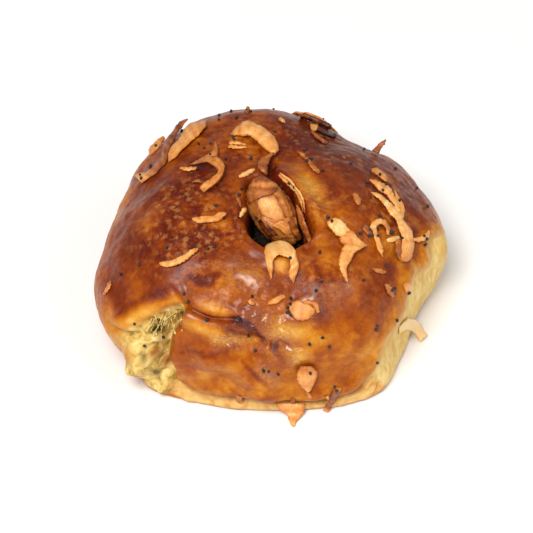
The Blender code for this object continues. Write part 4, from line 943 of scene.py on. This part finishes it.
def crust_finish(colours):
    """Egg-washed crust: baked tones that flow in streaks, with painted shade in the hollow and creases, a
    painted purple-brown sheen and small light flecks, fading to the pale touched side, the torn crumb with
    its painted shade, and the bottom layer where the mesh's own values say so."""
    f = Finish("baked_crust", 0.35, 0.05)
    for key, value in (("Specular IOR Level", 0.14), ("Coat Roughness", 0.27), ("Coat IOR", 1.55)):
        f.shader.inputs[key].default_value = value
    flow = f.noise(f.mapped(f.object, (130, 130, 210)), 1.0, 5, 1.4)
    fine = f.noise(f.object, 520, 4, 0.6)
    grain = f.noise(f.object, 1700, 3)
    patch = f.spread(f.noise(f.object, 170, 2, 0.3), 0.34, 0.56)
    fleck = f.swayed(f.cells(f.object, 430), f.noise(f.object, 1300, 3), 0.9)
    fleck = f.spread(fleck, 0.18, 0.48, 1.0, 0.0)
    small = f.spread(f.cells(f.object, 900), 0.15, 0.45, 1.0, 0.0)
    fleck = f.math("MULTIPLY_ADD", small, 0.35, fleck)
    fleck = f.math("MULTIPLY", fleck, f.math("MULTIPLY", patch, f.attribute("flecked")))
    blister = f.spread(f.cells(f.object, 260), 0.12, 0.30, 1.0, 0.0)
    baked = f.swayed(f.attribute("baked"), flow, f.math("MULTIPLY_ADD", f.attribute("flecked"), 0.66, 0.20))
    baked = f.swayed(baked, fine, f.math("MULTIPLY_ADD", f.attribute("flecked"), 0.36, 0.20))
    baked = f.swayed(baked, grain, 0.10)
    baked = f.math("MULTIPLY_ADD", f.math("MULTIPLY", blister, patch), -0.08, baked)
    # The dark and burnt stops also give the painted shade of the hollow, the creases and the gaps
    colour = f.ramp(f.math("MULTIPLY", baked, 0.8), [
        (0.0, colours.crust_pale), (0.18, colours.crust_light), (0.34, colours.crust_golden),
        (0.46, colours.crust_orange), (0.58, colours.crust_brown), (0.72, colours.crust_dark),
        (0.86, colours.crust_dark), (1.0, colours.crust_char_and_shade),
    ])
    # Painted sheen: purple-brown where the white room would reflect at grazing angles
    colour = f.mix(f.math("MULTIPLY", f.attribute("dusky"), 0.32), colour, rgba(colours.crust_painted_sheen))
    colour = f.mix(f.math("MULTIPLY", fleck, 0.42), colour, rgba(colours.crust_fleck))
    streak = f.noise(f.mapped(f.object, (520, 520, 90)), 1.0, 4, 0.8)
    touched = f.ramp(f.swayed(streak, fine, 0.6), [
        (0.25, colours.touched_shade), (0.50, colours.touched_side), (0.75, colours.touched_light),
    ])
    crumb = f.ramp(f.swayed(fine, flow, 1.0), [
        (0.22, colours.crumb_shade), (0.50, colours.crumb), (0.72, colours.crumb_light),
    ])
    # Painted shade deep in the torn corner's pits and gaps
    crumb = f.mix(f.attribute("deep"), crumb, rgba(colours.crumb_painted_shade))
    foot = f.ramp(f.swayed(flow, fine, 0.7), [(0.30, colours.foot_shade), (0.62, colours.foot_light)])
    touched_part, crumb_part, foot_part = f.attribute("touched"), f.attribute("crumb"), f.attribute("foot")
    colour = f.mix(touched_part, colour, touched)
    colour = f.mix(crumb_part, colour, crumb)
    colour = f.mix(foot_part, colour, foot)
    wet = f.attribute("wet")
    matt = f.math("MAXIMUM", touched_part, f.math("MULTIPLY", f.math("MAXIMUM", crumb_part, foot_part), 0.6))
    matt = f.math("MAXIMUM", matt, f.spread(baked, 1.05, 1.3))
    glaze = f.math("MULTIPLY_ADD", wet, -0.17, f.spread(fine, 0.3, 0.7, 0.30, 0.44))
    roughness = f.math("MULTIPLY_ADD", matt, 0.32, glaze)
    wrinkle = f.math("MULTIPLY", f.noise(f.mapped(f.object, (420, 640, 640)), 1.0, 4, 2.2), wet)
    normal = f.bump(wrinkle, 1.0, 1.1)
    normal = f.bump(fine, 0.30, 0.5, normal)
    normal = f.bump(fleck, 0.25, 0.15, normal)
    normal = f.bump(grain, 0.35, 0.14, normal)
    normal = f.bump(f.math("MULTIPLY", streak, touched_part), 0.5, 0.5, normal)
    f.put(f.shader.inputs["Coat Weight"], f.math("MULTIPLY", wet, f.math("SUBTRACT", 1.0, matt)))
    return f.done(colour, roughness, normal)


def onion_finish(colours):
    """Fried onion: pale flesh to burnt skin by the mesh's own toast value, with fibres along each strip."""
    f = Finish("fried_onion", 0.48, 0.22, (1.0, 0.5, 0.22), 1.2)
    along = f.attribute("strip", "Vector")
    fibre = f.noise(f.mapped(along, (0.35, 3.2, 1.0)), 1.0, 4, 0.3)
    patch = f.noise(along, 0.45, 3, 0.5)
    toast = f.swayed(f.swayed(f.attribute("toast"), fibre, 0.30), patch, 0.30)
    toast = f.swayed(toast, f.noise(f.object, 700, 5, 0.4), 0.34)
    colour = f.ramp(toast, [
        (0.0, colours.onion_pale), (0.17, colours.onion_light), (0.37, colours.onion_golden),
        (0.62, colours.onion_brown), (0.82, colours.onion_dark), (1.0, colours.onion_burnt),
    ])
    normal = f.bump(fibre, 0.45, 0.25)
    normal = f.bump(f.noise(f.object, 900, 3), 0.25, 0.15, normal)
    return f.done(colour, f.spread(patch, 0.3, 0.7, 0.36, 0.56), normal)


def crumb_finish(colours):
    """Pulled strands of pale crumb."""
    f = Finish("pulled_crumb", 0.5, 0.25)
    patch = f.noise(f.object, 500, 4)
    colour = f.ramp(patch, [(0.3, colours.crumb_shade), (0.5, colours.crumb), (0.7, colours.crumb_light)])
    return f.done(colour, None, f.bump(patch, 0.4, 0.2))


def seed_finish(colours):
    """Poppy seed: blue-black with a netted skin."""
    f = Finish("poppy_skin", 0.5)
    net = f.cells(f.object, 4200)
    tone = f.noise(f.object, 300, 2)
    colour = f.ramp(tone, [(0.4, colours.seed_dark), (0.62, colours.seed_blue)])
    return f.done(colour, None, f.bump(net, 0.5, 0.06))


def look_up(tree, px, py, side):
    """The point seen at a dot of the sheet and the surface's direction there, or None."""
    start, way = sheet_rays(np.array([px, py]), side)
    point, normal, _, _ = tree.ray_cast(Vector(start), Vector(way))
    if point is None:
        return None
    return np.array(point), np.array(normal)


def look_beside(tree, px, py, side):
    """As look_up, and past the surface's edge the point on the ray that comes nearest to the surface."""
    seen = look_up(tree, px, py, side)
    if seen is not None:
        return seen
    start, way = sheet_rays(np.array([px, py]), side)
    place = start + way * SHEET_DISTANCE
    for _ in range(4):
        near, normal, _, _ = tree.find_nearest(Vector(place))
        place = start + way * ((np.array(near) - start) @ way)
    return place, np.array(normal)


def even_out(values):
    """Each row averaged with its neighbours."""
    padded = np.concatenate([values[:1], values, values[-1:]])
    return (padded[:-2] + 2 * padded[1:-1] + padded[2:]) / 4


def laid_depth(tree, left, right, side):
    """How near to the eye the surface under a leaf is, at stations along its two edges and its middle. A
    leaf is stiff, so it bridges dips along its length, and its middle is no lower than its edges' mean."""
    eye = sheet_axes(side)[2]
    first, last = open_curve(left, STATIONS), open_curve(right, STATIONS)
    lines = (first, open_curve((first + last) / 2, STATIONS), last)
    depth = np.array([[look_beside(tree, px, py, side)[0] @ eye for px, py in line] for line in lines])
    for _ in range(STIFFNESS):
        depth = np.maximum(depth, np.array([even_out(row) for row in depth]))
    depth[1] = np.maximum(depth[1], (depth[0] + depth[2]) / 2)
    return depth


def leaf_body(leaf, tree, thickness, draw):
    """A thin leaf of onion between two edge curves. Point (t, k) lies on the sheet at the mix of both edges
    by k, and nearer to the eye than the surface below by its lift, by an arch of 4k(1-k) times the cup, by
    each edge's own tilt and by a few flutes that run along it. Gives its body, toast and strip places."""
    rng = np.random.default_rng(draw)
    eye = sheet_axes(leaf.side)[2]
    share = np.linspace(0, 1, SECTIONS)
    k = np.linspace(0, 1, LEAF_COLUMNS)[None, :]
    left, right = open_curve(leaf.left, SECTIONS), open_curve(leaf.right, SECTIONS)
    gaps = np.linalg.norm(np.diff((left + right) / 2, axis=0), axis=1)
    length = np.concatenate([[0], np.cumsum(gaps)])[:, None] * DOT
    side_way = unit(right - left)
    fade = ends(share, LEAF_FADE, LEAF_FADE)
    for size, wave, key in EDGE_WAVERS:
        left = left + side_way * (size * ripple(length, wave, draw + key) * fade)[:, None]
        right = right + side_way * (size * ripple(length, wave, draw + key + 1) * fade)[:, None]
    dots = left[:, None] * (1 - k[..., None]) + right[:, None] * k[..., None]
    width = np.linalg.norm(right - left, axis=1)[:, None] * DOT
    depth = laid_depth(tree, leaf.left, leaf.right, leaf.side)
    steps = np.linspace(0, STATIONS - 1, SECTIONS)
    rows = np.stack([np.interp(steps, np.arange(STATIONS), even_out(row)) for row in depth])
    near = np.where(k < 0.5, rows[0][:, None] * (1 - 2 * k) + rows[1][:, None] * 2 * k,
                    rows[1][:, None] * (2 - 2 * k) + rows[2][:, None] * (2 * k - 1))
    broad = width / np.max(width)
    rise = between(leaf.lift, share)[:, None] + leaf.cup * 4 * k * (1 - k) * broad
    rise = rise + (leaf.tilt[0] * (1 - k) ** 2 + leaf.tilt[1] * k**2) * fade[:, None]
    pitch, phase = rng.uniform(4.2, 5.6), rng.uniform(0, 6)
    flutes = np.sin((k - 0.5) * width * pitch + phase + 0.6 * ripple(length, 5, draw)[:, None])
    rise = rise + FLUTE_HEIGHT * flutes * np.minimum(1, width / 2)
    rise = rise + LEAF_SWELL * ripple(length, 4.5, draw + 80)[:, None]
    start, way = sheet_rays(dots, leaf.side)
    points = start + way * ((near - start @ eye) / (way @ eye))[..., None]
    points = points + eye * (rise + thickness / 2)[..., None]
    points[..., 2] = np.maximum(points[..., 2], 0.3 + 0.5 * thickness)
    rim = np.minimum(np.minimum(k, 1 - k) * width / 0.5, np.minimum(length, length[-1] - length) / 0.5)
    body = leaf_solid(points, thickness * (0.30 + 0.70 * np.clip(rim, 0, 1)))
    edge = 1 - np.clip(np.minimum(k, 1 - k) * 4, 0, 1)
    shade = between(leaf.toast, share)[:, None] + 0.17 * edge**2
    shade = shade + 0.05 * ripple(length, 3, draw + 60)[:, None]
    strip = np.stack([length + 0 * k, (k - 0.5) * width, np.full(shade.shape, draw * STRIP_STEP)], -1)
    return body, np.tile(shade.reshape(-1), 2), np.tile(strip.reshape(-1, 3), (2, 1))


def tree_over(bodies):
    """A search tree over closed bodies of points and faces."""
    points, faces = joined(bodies)
    return BVHTree.FromPolygons(points.tolist(), faces)


def bodies_of(names):
    """Points in millimetres and faces, as triangles, of named objects of the scene."""
    bodies = []
    for name in names:
        mesh = bpy.data.objects[name].data
        points = np.empty(3 * len(mesh.vertices))
        mesh.vertices.foreach_get("co", points)
        corners = np.empty(3 * len(mesh.loop_triangles), np.int32)
        mesh.loop_triangles.foreach_get("vertices", corners)
        bodies.append((points.reshape(-1, 3) / MM, [corners.reshape(-1, 3)]))
    return bodies


def tree_of(names):
    """A search tree over named objects of the scene."""
    return tree_over(bodies_of(names))


def roll_points(surface, columns, rows):
    """A surface of the roll on a grid whose columns crowd to the front, and whose rows share out the dome,
    the wall and the foot. Gives its points, its faces and the grid's parameters."""
    turn = np.linspace(0, 2 * math.pi, columns, endpoint=False)
    phi = turn + CROWDED_AT - CROWDING * np.sin(turn)
    dome_rows, wall_rows = round(rows * DOME_SHARE), round(rows * WALL_SHARE)
    dome = np.linspace(0, WALL_START, dome_rows + 1)[1:]
    wall = np.linspace(WALL_START, FOOT_START, wall_rows + 1)[1:]
    foot = np.linspace(FOOT_START, 1, rows - dome_rows - wall_rows + 1)[1:-1]
    phi, s = np.meshgrid(phi, np.concatenate([dome, wall, foot]))
    grid = surface(phi, s)
    poles = surface(np.full((2, 1), -math.pi / 2), np.array([[0.0], [1.0]])).reshape(-1, 3)
    return np.vstack([grid.reshape(-1, 3), poles]), grid_faces(*phi.shape), phi, s


def make_crust(sizes, colours):
    """The dough's whole surface: dough_surface on a fine grid, with its tones worked out at each point."""
    points, faces, phi, s = roll_points(dough_surface, sizes.crust_columns, sizes.crust_rows)
    form, normal = base_form(phi, s), form_normals(phi, s)
    px, py = sheet_dots(form)
    seen = smooth(normal @ sheet_axes()[2], 0.0, 0.3)
    tones = crust_tones(form, normal, px, py, seen)
    values = {key: with_poles(tone) for key, tone in zip(TONES, tones)}
    piece = build_piece("crust", [(points, faces)], crust_finish(colours), values)
    stand_for(piece, "dough")


def heart_core(middle, axes, half):
    """The heart's closed inner body: rings of an oval along its long side, with an uneven skin."""
    long_way, short_way, eye = axes
    a, b, c = half
    u = np.cos(np.linspace(math.pi, 0, 42)[1:-1])[:, None]
    v = np.linspace(0, 2 * math.pi, 48, endpoint=False)[None, :]
    places = np.stack([a * u + 0 * v, b * np.sin(v) + 0 * u, c * np.cos(v) + 0 * u], -1)
    uneven = 0.04 * ripple(places, 6, 41) + 0.02 * ripple(places * (0.3, 1, 1), 1.6, 42)
    size = np.sqrt(1 - u**2) * (1 + uneven)
    rings = middle + long_way * (a * u)[..., None] + size[..., None] * (
        short_way * (b * np.sin(v))[..., None] + eye * (c * np.cos(v))[..., None]
    )
    shade = 0.56 + 0.10 * ripple(places, 5, 43)
    strip = np.stack([a * u + 0 * v, b * v + 0 * u, 0 * u * v], -1)
    poles = np.vstack([strip.reshape(-1, 3), strip[0].mean(0), strip[-1].mean(0)])
    return closed_tube(rings), with_poles(shade), poles


def make_heart(sizes, colours):
    """The folded onion heart: an oval core, turned to the hollow's long side, under skins laid on it."""
    tree = tree_of(["crust"])
    place, _ = look_up(tree, *HEART_AT, FRONT)
    right, up, eye = sheet_axes()
    c, s = math.cos(math.radians(HEART_TURN)), math.sin(math.radians(HEART_TURN))
    axes = right * c - up * s, right * s + up * c, eye
    core, toast, strip = heart_core(place + eye * HEART_STANDS, axes, HEART_HALF)
    bodies, toasts, strips = [core], [toast], [strip]
    for number, leaf in enumerate(HEART_LEAVES):
        body, toast, strip = leaf_body(leaf, tree_over(bodies), SKIN_THICKNESS, HEART_DRAW + number)
        bodies.append(body)
        toasts.append(toast)
        strips.append(strip)
    values = {"toast": np.concatenate(toasts), "strip": np.vstack(strips)}
    piece = build_piece("onion_heart_skins", bodies, onion_finish(colours), values)
    stand_for(piece, "onion_heart")


def leaf_piece(name, leaves, tree, thickness, material, draw):
    """One object of several leaves, with their toast and strip places."""
    made = [leaf_body(leaf, tree, thickness, draw + n) for n, leaf in enumerate(leaves)]
    values = {"toast": np.concatenate([m[1] for m in made]), "strip": np.vstack([m[2] for m in made])}
    return build_piece(name, [m[0] for m in made], material, values)


# Pieces that end on the floor, and the floor that they lie on
GROUNDED = ("onion_floor_flake", "onion_foot_strip")
GROUND = (np.array([(-200.0, -200, 0), (200, -200, 0), (200, 200, 0), (-200, 200, 0)]), [np.arange(4)[None]])


def make_leaves(sizes, colours):
    """The loose onion pieces, one object for each CAD node, laid one after another on what is there."""
    laid = ["crust", "onion_heart_skins"]
    thickness, material = sizes.onion_thickness / MM, onion_finish(colours)
    for number, onion in enumerate(ONIONS):
        tree = tree_over(bodies_of(laid) + [GROUND] * (onion.name in GROUNDED))
        piece = leaf_piece(onion.name + "_fried", onion.leaves, tree, thickness, material, 7 * number)
        stand_for(piece, onion.name)
        laid.append(piece.name)


def make_flakes(sizes, colours):
    """Small flakes of onion that lie half sunk in the crust, all in one piece."""
    leaves = []
    for route, widths, toast in FLAKES:
        toasts = (toast + 0.1, toast, toast + 0.1)
        leaves.append(Leaf(*strip_edges(route, widths), (0, 0.15, 0), 0.35, (0, 0), toasts))
    thickness, material = sizes.onion_thickness / MM, onion_finish(colours)
    piece = leaf_piece("onion_small_flakes", leaves, tree_of(["crust"]), thickness, material, FLAKE_DRAW)
    stand_for(piece, "dough")


def make_strands(sizes, colours):
    """Crumb pulled out across the torn pocket: thin tubes from the lip to the pocket's floor, each a
    straight line on the sheet with a little sag, thicker at both ends."""
    tree = tree_of(["crust"])
    rng = np.random.default_rng(STRAND_DRAW)
    eye = sheet_axes()[2]
    bodies = []
    for _ in range(sizes.strand_count):
        share = rng.uniform(0, 1)
        spread = rng.normal(0, 1.5), rng.normal(0, 2.5)
        start = [first + run * share + off for first, run, off in zip(LIP_START, LIP_RUN, spread)]
        end = (start[0] + rng.normal(-3, 4), start[1] + rng.uniform(5, 20))
        a, b = look_up(tree, *start, FRONT), look_up(tree, *end, FRONT)
        t = np.linspace(0, 1, STRAND_STEPS)[:, None]
        path = a[0] * (1 - t) + b[0] * t + eye * (0.4 + rng.uniform(-0.8, 1.0) * np.sin(math.pi * t))
        way = unit(np.gradient(path, axis=0))
        side = unit(np.cross(way, eye))
        out = np.cross(side, way)
        radius = sizes.strand_radius / MM * rng.uniform(0.6, 1.6) * (0.7 + 1.1 * np.abs(2 * t - 1) ** 3)
        angle = np.linspace(0, 2 * math.pi, STRAND_SIDES, endpoint=False)[None, :, None]
        ring = side[:, None] * np.cos(angle) - out[:, None] * np.sin(angle)
        bodies.append(closed_tube(path[:, None] + radius[:, None] * ring))
    piece = build_piece("crumb_strands", bodies, crumb_finish(colours))
    stand_for(piece, "dough")


def seed_shape(radius):
    """A poppy seed: a ball, a little longer than wide, with a dent on one side like a kidney."""
    polar = np.linspace(0, math.pi, SEED_ROWS + 2)[1:-1, None]
    angle = np.linspace(0, 2 * math.pi, SEED_COLUMNS, endpoint=False)[None, :]
    size = np.sin(polar) * (1 - SEED_DENT * bell(angle, 0.8, math.pi) * np.sin(polar) ** 2)
    long, wide, high = SEED_HALF
    sides = (long * size * np.cos(angle), wide * size * np.sin(angle), high * np.cos(polar) + 0 * angle)
    return radius * np.stack(sides, -1)


def make_seeds(sizes, colours):
    """Poppy seeds in drawn groups, on the crust and the onion that lies over it, each turned at random."""
    tree = tree_of([o.name for o in bpy.data.objects if o.get("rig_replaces") and o.name != "crumb_strands"])
    rng = np.random.default_rng(SEED_DRAW)
    radius = sizes.seed_radius / MM
    shape = seed_shape(radius)
    bodies, taken = [], []
    for side, groups in ((FRONT, SEED_GROUPS), (BEHIND, BEHIND_SEED_GROUPS)):
        for across, down, spread, number in groups:
            for px, py in rng.normal((across, down), spread, (number, 2)):
                turn = Matrix.Rotation(rng.uniform(0, 6.28), 3, rng.normal(size=3).tolist())
                seen = look_up(tree, px, py, side)
                if seen is None or seen[0][2] < WALL_HEIGHT / 2:
                    continue
                centre = seen[0] + seen[1] * radius * SEED_STANDS
                if any(np.linalg.norm(centre - other) < SEED_APART * radius for other in taken):
                    continue
                taken.append(centre)
                bodies.append(closed_tube(shape @ np.array(turn).T * rng.uniform(0.85, 1.1) + centre))
    piece = build_piece("poppy_seeds", bodies, seed_finish(colours))
    stand_for(piece, "dough")


def soft_light(name, place, side, power, colour):
    """A square soft light that looks at the roll."""
    light = bpy.data.lights.new(name, "AREA")
    light.shape = "SQUARE"
    light.size = side
    light.energy = power
    light.color = colour
    lamp = put_in_scene(name, light)
    lamp.location = place
    lamp.rotation_euler = (-Vector(place)).to_track_quat("-Z", "Y").to_euler()


def make_stage(stage):
    """The camera on the sheet's eye, a plain pale floor, and soft studio light from above and the front."""
    right, up, eye = sheet_axes()
    camera = put_in_scene("sheet_camera", bpy.data.cameras.new("sheet_camera"))
    camera.data.sensor_fit = "HORIZONTAL"
    camera.data.angle = 2 * math.atan(SHEET_SIDE * DOT / 2 / SHEET_DISTANCE)
    turn = Matrix((right, up, eye)).transposed().to_4x4()
    camera.matrix_world = Matrix.Translation(Vector((AIM + eye * SHEET_DISTANCE) * MM)) @ turn
    bpy.context.scene.camera = camera
    corners = np.array([(-1, -1, 0), (1, -1, 0), (1, 1, 0), (-1, 1, 0)]) * stage.floor_side / 2
    mesh = bpy.data.meshes.new("pale_floor")
    mesh.from_pydata(corners.tolist(), [], [(0, 1, 2, 3)])
    mesh.materials.append(Finish("pale_floor", 0.8).done(rgba(stage.floor_colour)))
    put_in_scene("pale_floor", mesh)
    world = bpy.data.worlds.new("pale_room")
    world.use_nodes = True
    background = world.node_tree.nodes["Background"]
    background.inputs["Color"].default_value = rgba(stage.room_colour)
    background.inputs["Strength"].default_value = stage.room_strength
    bpy.context.scene.world = world
    soft_light("key_light", (-0.25, -0.55, 0.95), 0.50, stage.key_power, (1.0, 0.97, 0.93))
    soft_light("fill_light", (0.75, -0.35, 0.7), 0.8, stage.fill_power, (0.95, 0.97, 1.0))
    bpy.context.scene.view_settings.view_transform = "Standard"


def colour_property(name, description, rgb):
    """A colour setting whose default is a screen colour from 0 to 255."""
    return FloatVectorProperty(
        name=name, description=description, subtype="COLOR", min=0, max=1, default=linear(rgb)
    )


def amount_property(name, description, default, unit="LENGTH"):
    """A setting of zero or more, in metres unless it has another unit."""
    return FloatProperty(
        name=name, description=description, unit=unit, min=0, default=default, precision=5
    )


class RollSizes(bpy.types.PropertyGroup):
    """Sizes of the roll's own pieces"""

    crust_columns: IntProperty(name="Crust columns", description="Columns of its mesh", default=470, min=40)
    crust_rows: IntProperty(name="Crust rows", description="Rows of its mesh", default=208, min=20)
    onion_thickness: amount_property("Onion thickness", "Thickness of a fried onion leaf", 0.55 * MM)
    strand_radius: amount_property("Strand radius", "Half the thickness of a strand of crumb", 0.13 * MM)
    strand_count: IntProperty(name="Strands", description="Strands in the torn corner", default=34, min=0)
    seed_radius: amount_property("Seed radius", "Half the width of a poppy seed", 0.52 * MM)


class RollColours(bpy.types.PropertyGroup):
    """Colours of the roll's own pieces"""

    crust_pale: colour_property("Crust, pale", "Crust that is hardly baked", (230, 190, 118))
    crust_light: colour_property("Crust, light", "Lightly baked crust", (218, 158, 64))
    crust_golden: colour_property("Crust, golden", "Golden crust", (192, 117, 20))
    crust_orange: colour_property("Crust, orange", "Orange-brown crust", (163, 80, 7))
    crust_brown: colour_property("Crust, brown", "Brown crust", (128, 50, 5))
    crust_dark: colour_property("Crust, dark", "Dark red-brown crust", (92, 23, 3))
    # Burnt crust, and the painted shade of the hollow
    crust_char_and_shade: colour_property("Crust, burnt", "Burnt crust", (14, 4, 2))
    # A painted purple-brown sheen on the shoulders
    crust_painted_sheen: colour_property("Crust, dusky", "Purple-brown baking of the shoulders", (104, 48, 30))
    crust_fleck: colour_property("Crust, flecks", "Light flecks of the crust", (196, 134, 72))
    touched_side: colour_property("Touched side", "Pale side that a neighbour touched", (226, 190, 114))
    touched_shade: colour_property("Touched side, shade", "Its darker streaks", (216, 168, 88))
    touched_light: colour_property("Touched side, light", "Its lighter streaks", (242, 214, 150))
    crumb: colour_property("Crumb", "Torn crumb", (222, 188, 106))
    crumb_shade: colour_property("Crumb, shade", "Darker crumb", (160, 126, 58))
    crumb_light: colour_property("Crumb, light", "Lighter crumb", (240, 214, 144))
    # Painted shade deep in the torn corner
    crumb_painted_shade: colour_property("Crumb, deep", "Crumb deep in the torn corner", (56, 44, 14))
    foot_light: colour_property("Bottom layer", "Pale bottom layer", (232, 190, 116))
    foot_shade: colour_property("Bottom layer, shade", "Darker bottom layer", (208, 148, 74))
    onion_pale: colour_property("Onion, pale", "Hardly fried onion", (246, 208, 148))
    onion_light: colour_property("Onion, light", "Lightly fried onion", (238, 174, 98))
    onion_golden: colour_property("Onion, golden", "Golden onion", (218, 138, 60))
    onion_brown: colour_property("Onion, brown", "Brown onion", (160, 84, 26))
    onion_dark: colour_property("Onion, dark", "Dark onion skin", (96, 34, 12))
    onion_burnt: colour_property("Onion, burnt", "Burnt onion", (30, 7, 4))
    seed_dark: colour_property("Seed, dark", "Darkest poppy seeds", (10, 10, 14))
    seed_blue: colour_property("Seed, blue", "Blue-grey poppy seeds", (34, 46, 58))


class StageSettings(bpy.types.PropertyGroup):
    """Floor, light and room round the roll"""

    floor_side: amount_property("Floor", "Side of the floor", 4.0)
    floor_colour: colour_property("Floor colour", "Plain pale floor", (252, 252, 252))
    room_colour: colour_property("Room colour", "Light that comes from all round", (255, 255, 255))
    room_strength: amount_property("Room light", "Strength of the light from all round", 0.34, "NONE")
    key_power: amount_property("Key light", "Power of the main soft light", 12.0, "POWER")
    fill_power: amount_property("Fill light", "Power of the second soft light", 2.5, "POWER")


class PieceOperator:
    """What every operator of the roll shares: it hands its settings to one function that makes the piece"""

    bl_options = {"REGISTER", "UNDO"}

    def execute(self, context):
        self.make(context.scene.onion_roll_sizes, context.scene.onion_roll_colours)
        return {"FINISHED"}


class ONIONROLL_OT_crust(PieceOperator, bpy.types.Operator):
    """Make the dough's glazed crust, its touched side and its torn crumb"""

    bl_idname = "onion_roll.crust"
    bl_label = "Crust"
    make = staticmethod(make_crust)


class ONIONROLL_OT_strands(PieceOperator, bpy.types.Operator):
    """Make the strands of crumb across the torn corner"""

    bl_idname = "onion_roll.strands"
    bl_label = "Crumb strands"
    make = staticmethod(make_strands)


class ONIONROLL_OT_heart(PieceOperator, bpy.types.Operator):
    """Make the folded onion heart in the hollow"""

    bl_idname = "onion_roll.heart"
    bl_label = "Onion heart"
    make = staticmethod(make_heart)


class ONIONROLL_OT_leaves(PieceOperator, bpy.types.Operator):
    """Make the loose fried onion pieces"""

    bl_idname = "onion_roll.leaves"
    bl_label = "Onion leaves"
    make = staticmethod(make_leaves)


class ONIONROLL_OT_flakes(PieceOperator, bpy.types.Operator):
    """Make the small onion flakes sunk in the crust"""

    bl_idname = "onion_roll.flakes"
    bl_label = "Small flakes"
    make = staticmethod(make_flakes)


class ONIONROLL_OT_seeds(PieceOperator, bpy.types.Operator):
    """Scatter the poppy seeds"""

    bl_idname = "onion_roll.seeds"
    bl_label = "Poppy seeds"
    make = staticmethod(make_seeds)


class ONIONROLL_OT_stage(bpy.types.Operator):
    """Make the camera, the pale floor and the soft light"""

    bl_idname = "onion_roll.stage"
    bl_label = "Stage"
    bl_options = {"REGISTER", "UNDO"}

    def execute(self, context):
        make_stage(context.scene.onion_roll_stage)
        return {"FINISHED"}


OPERATORS = (
    ONIONROLL_OT_crust, ONIONROLL_OT_strands, ONIONROLL_OT_heart, ONIONROLL_OT_leaves,
    ONIONROLL_OT_flakes, ONIONROLL_OT_seeds, ONIONROLL_OT_stage,
)


class VIEW3D_PT_onion_roll(bpy.types.Panel):
    """Pieces and settings of the onion roll"""

    bl_label = "Onion Roll"
    bl_space_type = "VIEW_3D"
    bl_region_type = "UI"
    bl_category = "Onion Roll"

    def draw(self, context):
        for operator in OPERATORS:
            self.layout.operator(operator.bl_idname)
        for group in ("onion_roll_sizes", "onion_roll_colours", "onion_roll_stage"):
            settings = getattr(context.scene, group)
            box = self.layout.box()
            for key in settings.__annotations__:
                box.prop(settings, key)


CLASSES = (RollSizes, RollColours, StageSettings, *OPERATORS, VIEW3D_PT_onion_roll)


def register():
    for cls in CLASSES:
        bpy.utils.register_class(cls)
    bpy.types.Scene.onion_roll_sizes = PointerProperty(type=RollSizes)
    bpy.types.Scene.onion_roll_colours = PointerProperty(type=RollColours)
    bpy.types.Scene.onion_roll_stage = PointerProperty(type=StageSettings)


def unregister():
    del bpy.types.Scene.onion_roll_stage
    del bpy.types.Scene.onion_roll_colours
    del bpy.types.Scene.onion_roll_sizes
    for cls in reversed(CLASSES):
        bpy.utils.unregister_class(cls)


def main():
    """Make every piece and the stage through their operators."""
    register()
    bpy.ops.onion_roll.stage()
    bpy.ops.onion_roll.crust()
    bpy.ops.onion_roll.strands()
    bpy.ops.onion_roll.heart()
    bpy.ops.onion_roll.leaves()
    bpy.ops.onion_roll.flakes()
    bpy.ops.onion_roll.seeds()


if __name__ == "__main__":
    main()
